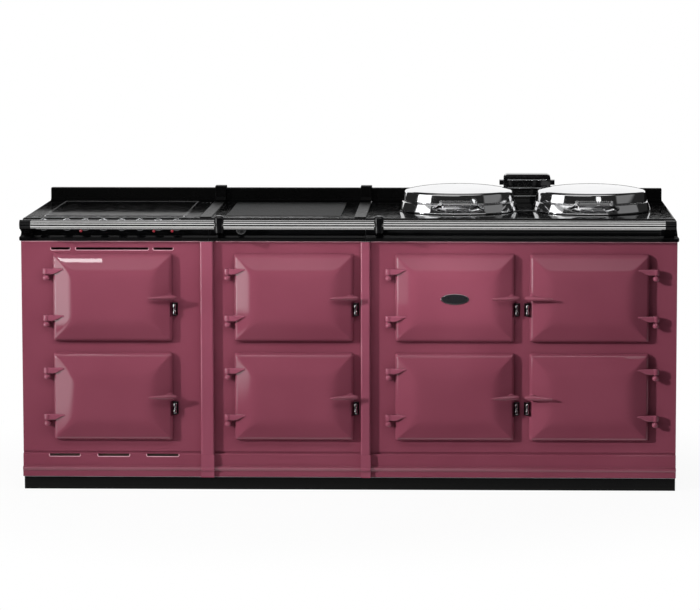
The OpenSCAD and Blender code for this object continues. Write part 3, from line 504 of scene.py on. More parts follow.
@dataclass(frozen=True)
class Metal(Finish):
    """A bare or plated metal with its grain, smudges and tarnish."""

    colour: Colour
    dull: Colour
    roughness: float
    spread: float
    grain: Triple = (1, 1, 1)
    grain_scale: float = 60.0
    depth: float = 0.0002
    metallic: float = 1.0
    edge: float = 1.0

    def make(self) -> bpy.types.Material:
        """Colour from slow noise, roughness and relief from noise stretched along the grain."""
        smudges, smoothest = 9.0, 0.02
        b = Board(self.name)
        colour = b.blend(b.spread(b.noise(smudges, 3.0), 0.0, 1.0, 0.35, 0.75), self.colour, self.dull)
        line = b.noise(self.grain_scale, 4.0, self.grain)
        rough = b.spread(line, max(smoothest, self.roughness - self.spread), self.roughness + self.spread)
        return b.shade(
            Base_Color=colour, Metallic=self.metallic, Roughness=rough,
            Normal=b.bump(line, 0.3, self.depth), Specular_Tint=(self.edge, self.edge, self.edge, 1),
        )


@dataclass(frozen=True)
class CastIron(Finish):
    """Cast iron as it comes from the sand: grainy, dark and dull, with a bloom of oxide."""

    colour: Colour
    bloom: Colour
    roughness: float = 0.6

    def make(self) -> bpy.types.Material:
        """Pits from cells, sand grain from fine noise, and oxide where the slow noise is high."""
        blooms, cells, sand, pit_depth = 14.0, 420.0, 700.0, 0.0008
        b = Board(self.name)
        colour = b.blend(b.spread(b.noise(blooms, 5.0), 0.0, 0.8), self.colour, self.bloom)
        pits = b.add("TexVoronoi", {"Vector": b.place, "Scale": cells}).outputs["Distance"]
        relief = b.bump(b.noise(sand, 3.0), 0.3, pit_depth, b.bump(pits, 0.25, pit_depth))
        rough = b.spread(b.noise(90.0, 3.0), self.roughness - 0.1, self.roughness + 0.12)
        return b.shade(Base_Color=colour, Metallic=0.6, Roughness=rough, Normal=relief)


@dataclass(frozen=True)
class TurnedIron(Finish):
    """The machined face of a hotplate: fine rings left by the tool, round each plate's middle."""

    middle: float
    half_pitch: float
    depth: float

    def make(self) -> bpy.types.Material:
        """Rings from the distance to the nearer plate's axis, sqrt((|x-m|-p)^2 + (y-d)^2)."""
        rings_pace, ring_depth = 5200.0, 0.0002
        b = Board(self.name)
        split = b.add("SeparateXYZ", {0: b.place}).outputs
        across = b.sum("ABSOLUTE", b.sum("SUBTRACT", split[0], self.middle))
        far = b.span(b.sum("SUBTRACT", across, self.half_pitch), b.sum("SUBTRACT", split[1], self.depth))
        rings = b.sum("SINE", b.sum("MULTIPLY", far, rings_pace))
        return b.shade(
            Base_Color=b.blend(b.spread(b.noise(20.0, 4.0), 0.0, 1.0), tint(74, 74, 76), tint(52, 50, 50)),
            Metallic=0.9, Roughness=b.spread(b.noise(120.0, 3.0), 0.34, 0.5),
            Normal=b.bump(rings, 0.2, ring_depth),
        )


@dataclass(frozen=True)
class HobGlass(Finish):
    """Black ceramic glass with a printed border set in from its sides and, wider, from its back."""

    low: tuple[float, float]
    high: tuple[float, float]
    inset: float = 0.007
    line: float = 0.0036
    back_share: float = 0.3

    def make(self) -> bpy.types.Material:
        """The border is where the distance to the nearest edge is within half a line of the inset.

        The distance to the back counts for its share only, so the border lies further from it.
        """
        b = Board(self.name)
        split = b.add("SeparateXYZ", {0: b.place}).outputs
        middle, half = (self.low[0] + self.high[0]) / 2, (self.high[0] - self.low[0]) / 2
        side = b.sum("SUBTRACT", half, b.sum("ABSOLUTE", b.sum("SUBTRACT", split[0], middle)))
        back = b.sum("MULTIPLY", b.sum("SUBTRACT", self.high[1], split[1]), self.back_share)
        off = b.sum("ABSOLUTE", b.sum("SUBTRACT", b.sum("MINIMUM", side, back), self.inset))
        border = b.sum("LESS_THAN", off, self.line / 2)
        speck = b.spread(b.noise(900.0), 0.0, 1.0, 0.62, 0.7)
        ground = b.blend(speck, tint(10, 10, 12), tint(24, 24, 27))
        return b.shade(
            Base_Color=b.blend(border, ground, tint(225, 225, 225)), Coat_Weight=0.6,
            Roughness=b.spread(b.noise(25.0, 4.0), 0.05, 0.12), Coat_Roughness=0.04, Specular_IOR_Level=0.5,
        )


@dataclass(frozen=True)
class Paint(Finish):
    """Satin paint, darker towards its top under the overhang and a little paler towards the floor: painted
    shade.
    """

    high: Colour
    low: Colour
    top: float
    roughness: float = 0.5

    def make(self) -> bpy.types.Material:
        """The colour goes from low to high with the height above the floor, up to top."""
        b = Board(self.name)
        height = b.add("SeparateXYZ", {0: b.place}).outputs[2]
        uneven = b.spread(b.noise(30.0, 4.0), -0.1, 0.1)
        share = b.sum("ADD", b.spread(height, 0.0, 1.0, 0.0, self.top), uneven)
        return b.shade(
            Base_Color=b.blend(share, self.low, self.high),
            Roughness=b.spread(b.noise(200.0, 3.0), self.roughness - 0.06, self.roughness + 0.06),
            Normal=b.bump(b.noise(600.0), 0.15, 0.0006), Specular_IOR_Level=0.15,
        )


FINISHES: dict[str, Finish] = {
    "enamel": Enamel("rose_enamel", "coloured_enamel", tint(127, 65, 81), tint(121, 60, 76), gloss=0.0),
    # A lighter copy of the enamel for the posts, lugs and hinge brackets: painted light on the parts that
    # stand proud.
    "painted_lit": Enamel("painted_lit_enamel", "coloured_enamel", tint(138, 73, 91), tint(131, 68, 85), gloss=0.0),
    # Pale enamel for the slot lips and the panels' top bead: a painted highlight on those edges.
    "lip": Enamel("lip_painted_highlight", "coloured_enamel", tint(222, 168, 180), tint(206, 150, 163), wave=0.01),
    # A darker, duller copy of the black enamel for the upstand: painted shade.
    "shade": Enamel(
        "upstand_shaded_enamel", "black_enamel", tint(5, 5, 5), tint(4, 4, 4), 0.3, 0.0, 0.004, 0.06,
    ),
    "black": Enamel(
        "black_enamel", "black_enamel", tint(12, 12, 13), tint(8, 8, 9), 0.08, 0.2, 0.004, 0.2,
    ),
    # The plinth's paint darkens towards its top under the overhang: painted shade.
    "plinth": Paint("plinth_paint", "plinth_paint", tint(3, 3, 3), tint(6, 6, 6), 0.04),
    "zinc": Metal(
        "zinc_plate", "zinc_steel", (0.5, 0.52, 0.54, 1), (0.36, 0.37, 0.39, 1), 0.38, 0.1, grain_scale=35.0,
    ),
    "rail": Metal(
        "rail_polish", "polished_rail", (0.92, 0.92, 0.91, 1), (0.87, 0.87, 0.86, 1), 0.08, 0.03,
        (0.2, 1, 1), 240.0,
    ),
    "chrome": Metal(
        "lid_chrome", "lid_chrome", (0.88, 0.88, 0.89, 1), (0.83, 0.83, 0.84, 1), 0.06, 0.03,
        grain_scale=40.0,
    ),
    "alloy": Metal(
        "cast_alloy", "cast_aluminium", (0.6, 0.6, 0.61, 1), (0.46, 0.47, 0.48, 1), 0.45, 0.08,
        grain_scale=300.0, depth=0.001,
    ),
    "satin": Metal(
        "warming_steel", "satin_plate", (0.062, 0.063, 0.064, 1), (0.05, 0.051, 0.052, 1), 0.4, 0.05,
        (1, 0.05, 1), 500.0, edge=0.5,
    ),
    "iron": CastIron("oven_iron", "oven_iron", tint(62, 58, 56), tint(88, 74, 64)),
    "sheath": Metal(
        "element_sheath", "element_sheath", tint(96, 80, 66), tint(70, 66, 74), 0.5, 0.1, metallic=0.8,
    ),
    "catch": Metal("catch_plate", "catch_steel", tint(52, 53, 56), tint(36, 37, 39), 0.42, 0.08),
    "roller": Metal(
        "catch_roller", "catch_steel", (0.74, 0.75, 0.76, 1), (0.62, 0.63, 0.64, 1), 0.14, 0.05,
    ),
    "liner": Metal(
        "liner_steel", "liner_steel", (0.62, 0.63, 0.65, 1), (0.5, 0.51, 0.53, 1), 0.34, 0.08,
        (1, 1, 0.05), 400.0,
    ),
    "badge": Metal("badge_rim", "badge_metal", (0.75, 0.76, 0.77, 1), (0.62, 0.63, 0.65, 1), 0.16, 0.05),
    "badge_field": Enamel("badge_field", "badge_metal", tint(30, 30, 33), tint(22, 22, 24)),
    "knob": Metal(
        "knob_bezel", "knob_metal", (0.5, 0.505, 0.51, 1), (0.4, 0.405, 0.41, 1), 0.2, 0.06,
        grain_scale=120.0,
    ),
    "knob_grip": Enamel("knob_grip", "knob_metal", tint(30, 30, 32), tint(20, 20, 22), 0.34),
    "mark": Enamel("knob_mark", "knob_metal", tint(186, 30, 34), tint(160, 22, 28), wave=0.01),
    "pilot": Enamel("pilot_lens", "knob_metal", tint(158, 16, 38), tint(150, 14, 34), wave=0.01, glow=0.22),
    "turned": TurnedIron("turned_iron", "machined_iron", 0.563, 0.216, 0.0265),
    "glass": HobGlass("hob_glass", "black_glass", (-0.978, -0.2095), (-0.52, 0.3285)),
}


class Finishes:
    """Every finish of the cooker, made once and handed to the pieces that have it."""

    def __init__(self) -> None:
        """Makes the materials."""
        self._made = {key: (finish.make(), finish.slot) for key, finish in FINISHES.items()}

    def material(self, key: str) -> bpy.types.Material:
        """The material of a finish."""
        return self._made[key][0]

    def slot(self, key: str) -> str:
        """The record's slot of a finish."""
        return self._made[key][1]


def linked(name: str, data: bpy.types.ID) -> bpy.types.Object:
    """A new object of the scene that holds a mesh, a lamp or a camera."""
    made = bpy.data.objects.new(name, data)
    bpy.context.scene.collection.objects.link(made)
    return made


def meshed(name: str, shell: Shell) -> bpy.types.Object:
    """A new object of the scene with a surface's mesh, in metres."""
    mesh = bpy.data.meshes.new(name)
    mesh.from_pydata((shell.points * MM).tolist(), [], [f for rows in shell.faces for f in rows.tolist()])
    return linked(name, mesh)


class Workshop:
    """Turns surfaces into named pieces that ride on the cooker's bodies."""

    def __init__(self, finishes: Finishes) -> None:
        """Keeps the finishes that the pieces take."""
        self.finishes = finishes

    def piece(
        self, name: str, shell: Shell, finish: str, body: str, nodes: Sequence[str] = ()
    ) -> bpy.types.Object:
        """Makes one piece from a surface.

        Args:
            name: the piece's name.
            shell: its surface, in millimetres in the cooker's frame.
            finish: the key of its finish.
            body: the body that it rides on.
            nodes: the solids that it stands for.

        Returns:
            The new object.
        """
        made = meshed(name, shell)
        mesh = made.data
        mesh.validate()
        mesh.shade_smooth()
        mesh.set_sharp_from_angle(angle=math.radians(CREASE))
        self._enter(made, finish, body, nodes)
        LOG.info("%s: %d faces, %s, on %s", name, len(mesh.polygons), finish, body)
        return made

    def dressed(self, node: str, finish: str, edge: float) -> bpy.types.Object:
        """Makes a piece from a copy of a solid, with its edges rounded and its finish on.

        Args:
            node: the solid's name.
            finish: the key of its finish.
            edge: the rounding of its edges, in millimetres.

        Returns:
            The new object, which stands for the solid.
        """
        same_place, same_plane, crease = 0.00001, math.radians(1.0), math.radians(28.0)
        source = frame["nodes"][node]
        work = bmesh.new()
        work.from_mesh(source.data)
        bmesh.ops.remove_doubles(work, verts=work.verts, dist=same_place)
        bmesh.ops.dissolve_limit(work, angle_limit=same_plane, verts=work.verts, edges=work.edges)
        mesh = bpy.data.meshes.new(node + "_dressed")
        work.to_mesh(mesh)
        work.free()
        mesh.shade_smooth()
        mesh.set_sharp_from_angle(angle=crease)
        made = linked(node + "_dressed", mesh)
        rounding = made.modifiers.new("rounded_edges", "BEVEL")
        rounding.width, rounding.segments = edge * MM, 3
        rounding.limit_method, rounding.angle_limit = "ANGLE", crease
        flat = made.modifiers.new("flat_faces", "WEIGHTED_NORMAL")
        flat.mode, flat.weight, flat.keep_sharp = "FACE_AREA", 100, True
        self._enter(made, finish, source["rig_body"], [node])
        LOG.info("%s: copied, edges rounded to %.1f mm", node, edge)
        return made

    def finished(self, node: str, finish: str) -> None:
        """Gives a solid that stays as it is its finish."""
        solid = frame["nodes"][node]
        if not solid.data.materials:
            solid.data.materials.append(None)
        for place in solid.material_slots:
            place.material = self.finishes.material(finish)
        LOG.info("%s: finish %s", node, finish)

    def _enter(self, made: bpy.types.Object, finish: str, body: str, nodes: Sequence[str]) -> None:
        """Gives a piece its finish, records its body, and hides the solids it stands for."""
        made.data.materials.append(self.finishes.material(finish))
        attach(made, body)
        self.finishes.slot(finish)
        if nodes:
            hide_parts(*nodes)


# Doors


@dataclass
class Door:
    """A cast door, drawn for hinges at its left, with its lugs, lever and inner panel."""

    column: Column
    row: Row
    width: float = 380.0
    height: float = 281.0
    gap: float = 3.0
    roll: float = 12.0
    crown: float = 45.0
    pivot_out: float = 19.5
    pivot_front: float = 22.0
    lug_heights: tuple[float, float] = (-65.0, 84.0)
    lug_radius: float = 11.0
    lug_height: float = 19.0
    strap: float = 38.0
    lever_in: float = 13.0
    lever_z: float = 3.0
    catch_drop: float = 38.0

    @property
    def name(self) -> str:
        """The door's name, as its solid and its body have it."""
        return f"door_{self.column.value[0]}_{self.row.value[0]}"

    @property
    def pivot_x(self) -> float:
        """The hinge's axis, left of the door's middle."""
        return -self.width / 2 - self.pivot_out

    def front(self, inset: np.ndarray) -> np.ndarray:
        """How far the door's face stands in front of the panel.

        With d the distance left to the end of the roll, the edge has the slope
        0.4 + 0.05 d + 0.00142 d^3. The bevel rises evenly at 0.4, and from 36 mm
        on its slope fades to nothing along half a cosine, up to the crown.

        Args:
            inset: distances from the door's edge.

        Returns:
            The height of the face at each of them.
        """
        slope, start, fade, bevel_foot = 0.4, 36.0, 56.0, 24.2
        left = np.maximum(self.roll - inset, 0)
        run = np.clip((inset - start) / fade, 0, 1)
        rise = slope * (np.minimum(inset, start) - self.roll)
        rise = rise + slope * fade * (run + np.sin(math.pi * run) / math.pi) / 2
        face = bevel_foot + rise - 0.025 * left**2 - 3.545e-4 * left**4
        return np.minimum(face, self.crown)

    def casting(self) -> Shell:
        """The door's body: rounded rectangles from its back over the roll to the crown.

        Each has its inset from the door's edge, how far out it stands and its corners' radius.
        """
        inset = np.concatenate([
            [3.0, 0.6, 0.0], [0.0, 0.25], np.linspace(0.8, self.roll, 15), [20, 30],
            np.linspace(36, 92, 15), [104.0],
        ])
        out = np.concatenate([[self.gap, self.gap, self.gap + 0.8], [6.6, 7.6], self.front(inset[5:])])
        radius = np.interp(inset, [0, 3, 12, 36, 60, 92, 104], [8, 7, 4.5, 5, 15, 30, 30])
        flat = round_rect(self.width - 2 * inset, self.height - 2 * inset, radius)
        return lofted(columns(flat[..., 0], -out[:, None], flat[..., 1]))

    def lug(self, height: float) -> Shell:
        """A hinge lug: a knuckle round the pivot, and a strap that narrows onto the bevel.

        The strap's section is a rounded rectangle. Its top is level, its lower
        edge rises along half a cosine from the door's edge on, and its front
        rises to meet the bevel.

        Args:
            height: how far the lug's middle lies above the door's.

        Returns:
            The knuckle and the strap.
        """
        h = self.lug_height / 2
        s = np.linspace(0, 1, 15)
        reach = self.pivot_out + self.strap
        past = np.clip((reach * s - self.pivot_out) / self.strap, 0, 1)
        tip = np.clip((s - 0.93) / 0.07, 0, 1) ** 2
        top = h - 4.0 * tip
        low = -h + (self.lug_height * 0.68) * (1 - np.cos(math.pi * past)) / 2
        low = np.minimum(low, top - 2.0)
        face = 31.0 + 5.6 * s - 1.5 * tip
        back = np.interp(s, [0, 0.34, 1], [12.5, 8, 22])
        flat = round_rect(face - back, top - low, np.minimum(3.6, 0.45 * (top - low)), 5)
        out, up = ((face + back) / 2)[:, None], ((top + low) / 2)[:, None]
        strap = lofted(columns((self.pivot_x + reach * s)[:, None], -(flat[..., 0] + out), flat[..., 1] + up))
        knuckle = spun([[0, -h], [self.lug_radius, -h], [self.lug_radius, h], [0, h + 0.6]], 2.6, 6, 48)
        return joined([strap, knuckle.moved(self.pivot_x, -self.pivot_front, 0)]).moved(0, 0, height)

    def under_lever(self, shell: Shell) -> Shell:
        """Turns a body about Z to the front, where the lever's foot stands on the door."""
        return shell.turned((1, 0, 0), 90).moved(self.width / 2 - self.lever_in, 0, self.lever_z)

    def seat(self) -> Shell:
        """The boss that carries the lever's foot, drawn in where it leaves the bevel."""
        corners = [[0, 16], [14, 16], [12.5, 21], [9.2, 25], [9, 30], [0, 30]]
        return self.under_lever(spun(corners, 1.6, 4, 40))

    def lever(self) -> Shell:
        """The lever and its foot: an oval bar that thickens from its tip to its heel.

        x, out, tall and deep are stations along the bar, from its tip to its tongue:
        where each lies, how far out its middle is, and half its height and depth.
        Each ring is (deep cos a, tall sin a), drawn in by 1 - 0.14 sin^2 2a.
        """
        x = np.array([
            117.0, 118.5, 122, 128, 138, 150, 162, 171, 178, 184, 190, 195, 199, 202.5, 204.6, 205.6,
        ])
        out = np.interp(x, [117, 125, 140, 160, 177, 190, 205.6], [66.4, 64.6, 60.4, 54.2, 48.2, 45.0, 41.0])
        tall = np.array([1.2, 2.5, 3.5, 4.1, 5.0, 6.0, 7.0, 7.7, 8.1, 8.1, 7.8, 7.3, 6.6, 5.3, 3.4, 1.2])
        deep = np.array([1.1, 2.3, 3.3, 4.0, 4.9, 5.8, 6.8, 7.6, 8.0, 8.0, 7.6, 7.1, 6.4, 5.2, 3.4, 1.2])
        a = np.linspace(0, 2 * math.pi, 28, endpoint=False)
        squash = 1 - 0.14 * np.sin(2 * a) ** 2
        bar = lofted(columns(
            x[:, None],
            -(out[:, None] + deep[:, None] * np.cos(a) * squash),
            tall[:, None] * np.sin(a) * squash + self.lever_z,
        ))
        foot = spun([[0, 30.05], [8.2, 30.05], [6.6, 35], [6.4, 40], [7, 46], [0, 47]], 1.8, 5, 36)
        return joined([bar, self.under_lever(foot)])

    def notch(self, body: bpy.types.Object) -> None:
        """Cuts the recess for the catch out of the edge of the door's casting."""
        edge, half, deep, past = self.width / 2, 23.5, 7.5, 6
        low, high = [edge - deep, -29, -half], [edge + past, past, half]
        tool = meshed("notch", self.placed(box(low, high, 2.0).moved(0, 0, -self.catch_drop)))
        cut = body.modifiers.new("notch", "BOOLEAN")
        cut.operation, cut.object, cut.solver = "DIFFERENCE", tool, "EXACT"
        bpy.context.view_layer.update()
        graph = bpy.context.evaluated_depsgraph_get()
        made = bpy.data.meshes.new_from_object(body.evaluated_get(graph))
        body.modifiers.clear()
        body.data = made
        made.set_sharp_from_angle(angle=math.radians(CREASE))
        bpy.data.objects.remove(tool)

    def placed(self, shell: Shell) -> Shell:
        """Carries a surface drawn round the door's middle to the door's place."""
        return shell.handed(self.column.hand).moved(self.column.x, PANEL_Y, self.row.z)

    def build(self, shop: Workshop) -> None:
        """Makes the casting with its lugs, the lever, and the inner panel's finish."""
        name = self.name
        self.notch(shop.piece(name + "_casting", self.placed(self.casting()), "enamel", name, [name]))
        lugs = joined([self.lug(h) for h in self.lug_heights] + [self.seat()])
        # The lugs and the lever's seat take the lighter enamel, painted light.
        shop.piece(name + "_lugs", self.placed(lugs), "painted_lit", name)
        shop.piece(name + "_lever", self.placed(self.lever()), "enamel", name)
        shop.finished("door_liner_" + name.removeprefix("door_"), "liner")


def doors() -> list[Door]:
    """The eight doors, column by column from the left, the lower one first."""
    return [Door(column, row) for column in Column for row in Row]


@dataclass
class HingeBrackets:
    """The sixteen brackets that carry the doors: a rounded boss on a neck, with its pin."""

    boss: float = 10.5
    height: float = 17.0
    low: float = -29.5
    pin: float = 4.0

    def bracket(self) -> Shell:
        """One bracket round its pin: a barrel, a neck back to the panel and the pin.

        From pole to pole the barrel's radius follows cos^0.62 a and its height sin^0.9 a.
        """
        low, middle = self.low, self.low + self.height / 2
        a = np.radians(np.linspace(-90, 90, 19))
        flat = np.sign(np.sin(a)) * np.abs(np.sin(a)) ** 0.9
        line = columns(self.boss * np.cos(a) ** 0.62, low + self.height / 2 * (1 + flat))
        line[0, 0] = line[-1, 0] = 0
        depth, at = np.linspace(-4, 22, 9), [-4, 4, 14, 22]
        wide = np.interp(depth, at, [13, 12.5, 14, 20])
        tall = np.interp(depth, at, [13, 12.5, 14, 17])
        section = round_rect(wide, tall, np.full(9, 4.5), 4)
        neck = lofted(columns(section[..., 0], depth[:, None], section[..., 1] + middle))
        pin = spun([[0, low + 9], [self.pin, low + 9], [self.pin, 3], [0, 3]], 1.0, 3, 24)
        return joined([revolved(line, 40), neck, pin])

    def build(self, shop: Workshop) -> None:
        """Makes all the brackets as one piece."""
        shells = [
            door.placed(self.bracket().moved(door.pivot_x, -door.pivot_front, height))
            for door in doors() for height in door.lug_heights
        ]
        # The brackets take the lighter enamel, painted light.
        shop.piece("hinge_brackets_cast", joined(shells), "painted_lit", "cooker", ["hinge_brackets"])


@dataclass
class Catches:
    """The eight door catches: a plate with two ears, and a waisted roller between them."""

    past: float = 6.0
    length: float = 35.0
    radius: float = 5.5

    def build(self, shop: Workshop) -> None:
        """Makes the plates as one piece and the rollers as another, which stand for one solid."""
        plates, rollers = [], []
        n, r, plate_thick, waist = self.length, self.radius, 2.0, 3.4
        ear = n / 2 + 0.3
        roller = spun([
            [0, 0], [3.2, 0], [r, 3], [r, 11.5], [waist, 15.5],
            [waist, n - 15.5], [r, n - 11.5], [r, n - 3], [3.2, n], [0, n],
        ], 3.0, 6, 32).moved(0, -plate_thick - r - 6, -n / 2)
        plate = box([-8, -plate_thick, -ear - 3], [10, 0, ear + 3], 0.8)
        ears = [box([-6, -18, z], [6, -1.5, z + 3], 1.2) for z in (-ear - 3, ear)]
        for door in doors():
            x, z = door.width / 2 + self.past, -door.catch_drop
            plates.append(door.placed(joined([plate, *ears]).moved(x, 0, z)))
            rollers.append(door.placed(roller.moved(x, 0, z)))
        shop.piece("door_catch_plates", joined(plates), "catch", "cooker", ["door_catches"])
        shop.piece("door_catch_rollers", joined(rollers), "roller", "cooker", ["door_catches"])


# Casing, top and rails


@dataclass
class Casing:
    """The base, the front, the top castings and what is fixed to them."""

    rounded: dict[str, tuple[str, float]] = field(default_factory=lambda: {
        # The joint posts take the lighter enamel, painted light.
        "base_moulding": ("enamel", 1.6), "joint_posts": ("painted_lit", 1.6),
        "front_left": ("enamel", 1.2), "front_middle": ("enamel", 1.0), "front_right": ("enamel", 1.0),
        "side_panels": ("enamel", 0.8), "plinth": ("plinth", 1.0),
        "top_left": ("black", 1.3), "top_middle": ("black", 1.3), "top_right": ("black", 1.3),
        "upstand": ("shade", 1.6), "rail_brackets": ("black", 1.6), "flue_cowl": ("black", 1.2),
        "glass_hob": ("glass", 0.8), "warming_plate": ("satin", 0.8), "lid_hinges": ("alloy", 1.0),
        "hotplates": ("turned", 1.0),
    })
    plain: dict[str, str] = field(default_factory=lambda: {
        "chassis": "zinc", "levelling_feet": "zinc", "heating_elements": "sheath", "oven_shelves": "liner",
        "ovens_left": "iron", "ovens_middle": "iron", "ovens_centre": "iron", "ovens_right": "iron",
        "lid_liner_left": "liner", "lid_liner_right": "liner",
    })

    def build(self, shop: Workshop) -> None:
        """Rounds and finishes the shown castings, and finishes what lies inside."""
        for node, (finish, edge) in self.rounded.items():
            shop.dressed(node, finish, edge)
        for node, finish in self.plain.items():
            shop.finished(node, finish)


@dataclass
class Vents:
    """The lips round the ventilation slots, pale as a painted highlight, and dark strips behind the lower
    ones, painted shade.
    """

    top: Spans = ((-945.0, -884.0), (-866.0, -635.0), (-620.0, -557.0))
    base: Spans = ((-956.0, -858.0), (-801.0, -700.0), (-645.0, -543.0))
    panels: Spans = ((-1039.0, -467.0), (-421.0, 37.0), (71.0, 1039.0))
    height: float = 8.0
    lip: float = 1.3

    def rim(self, start: float, end: float, low: float, out: float) -> Shell:
        """The lip under one slot, a round line that rises round the slot's two ends.

        Each end is an arc about the middle of the slot's round end, and the
        straight part runs between them along the lower edge.

        Args:
            start: the slot's left end.
            end: its right end.
            low: its lower edge.
            out: how far its face stands in front of the panels.

        Returns:
            The lip.
        """
        bend, r = np.radians(np.linspace(140, 270, 14)), self.height / 2
        arc = (r + self.lip * 0.7) * columns(np.cos(bend), 0.0, np.sin(bend))
        straight = np.linspace(start + r, end - r, 12)[1:-1, None] * [1, 0, 0] + arc[-1] * [0, 0, 1]
        right = arc[::-1] * [-1, 1, 1]
        path = np.concatenate([arc + [start + r, 0, 0], straight, right + [end - r, 0, 0]])
        return self.bead(path + [0, PANEL_Y - out - 0.2, low + r])

    def bead(self, path: np.ndarray) -> Shell:
        """A round line of the lip's thickness along a path that stays upright."""
        return swept(path, self.lip, 14, np.array([0.0, 1.0, 0.0]))

    def build(self, shop: Workshop) -> None:
        """Makes the pale lips and the bead along the panels' tops, a painted highlight, and dark strips
        behind the moulding's slots, painted shade.
        """
        top_low, base_low, proud = TOP_Z - 29.0, SKIRT_Z + 64.0, 7.0
        lips = [self.rim(*span, top_low, 0.0) for span in self.top]
        lips += [self.rim(*span, base_low, proud) for span in self.base]
        for start, end in self.panels:
            lips.append(self.bead(columns(np.linspace(start, end, 12), PANEL_Y + 0.2, TOP_Z - 1.7)))
        # The lips and the bead are pale: a painted highlight.
        shop.piece("panel_highlight_lips", joined(lips), "lip", "cooker", ["front_left"])
        # Dark strips behind the moulding's slots: painted shade inside the slots.
        shade_backs = [
            box([start + 0.5, PANEL_Y - 1.6, base_low + 0.3], [end - 0.5, PANEL_Y - 0.1, base_low + 7.7], 0.3)
            for start, end in self.base
        ]
        shop.piece("vent_shade_backs", joined(shade_backs), "iron", "cooker", ["front_left"])


@dataclass
class CowlBars:
    """The three bright bars across the grille of the flue cowl."""

    x: float = 575.0
    half: float = 66.0
    front: float = 276.5
    heights: tuple[float, ...] = (23.0, 50.0, 77.0)

    def build(self, shop: Workshop) -> None:
        """Each bar is a round rod with rounded ends, set half into the cowl's frame."""
        corners = [[0, -self.half], [2.4, -self.half], [2.4, self.half], [0, self.half]]
        rod = spun(corners, 1.0, 4, 24).turned((0, 1, 0), 90)
        rods = [rod.moved(self.x, self.front - 0.6, HOB_Z + z) for z in self.heights]
        shop.piece("flue_cowl_bars", joined(rods), "roller", "cooker", ["flue_cowl"])


@dataclass
class HobLamps:
    """The three small lamps beside the hob glass, and the three red ones under the knobs."""

    xs: tuple[float, ...] = (-507.0, -495.0, -483.0)
    y: float = 266.0
    red: tuple[float, ...] = (-849.5, -617.5, -559.5)
    red_z: float = 831.5

    def build(self, shop: Workshop) -> None:
        """Each lamp is a low round lens on the casting, the red ones a little larger and upright."""
        lens = spun([[0, -0.6], [2.2, -0.6], [2.2, 0.3], [0, 0.8]], 0.3, 3, 24)
        lenses = [lens.moved(x, self.y, HOB_Z) for x in self.xs]
        shop.piece("hob_lamps", joined(lenses), "badge", "cooker", ["top_left"])
        lens = spun([[0, -0.6], [4.4, -0.6], [4.4, 1.2], [0, 3.2]], 0.5, 3, 24).turned((1, 0, 0), 90)
        lenses = [lens.moved(x, PANEL_Y, self.red_z) for x in self.red]
        shop.piece("pilot_lamps", joined(lenses), "pilot", "cooker", ["top_left"])


@dataclass
class Handrails:
    """The three polished tubes of the front rail, between the brackets."""

    radius: float = 14.3
    out: float = 88.0
    z: float = 860.0
    spigot: float = 8.0
    spans: Spans = ((-996.0, -417.5), (-388.5, 84.5), (113.5, 996.0))

    def build(self, shop: Workshop) -> None:
        """Each tube is a line of radius against length, turned about the rail's axis."""
        shells = []
        for start, end in self.spans:
            r, thin = self.radius, self.spigot
            tube = spun([
                [0, start - thin], [thin, start - thin], [thin, start], [r, start],
                [r, end], [thin, end], [thin, end + thin], [0, end + thin],
            ], 1.2, 4, 96)
            shells.append(tube.turned((0, 1, 0), 90).moved(0, PANEL_Y - self.out, self.z))
        shop.piece("handrail_tubes", joined(shells), "rail", "cooker", ["handrails"])


# Lids


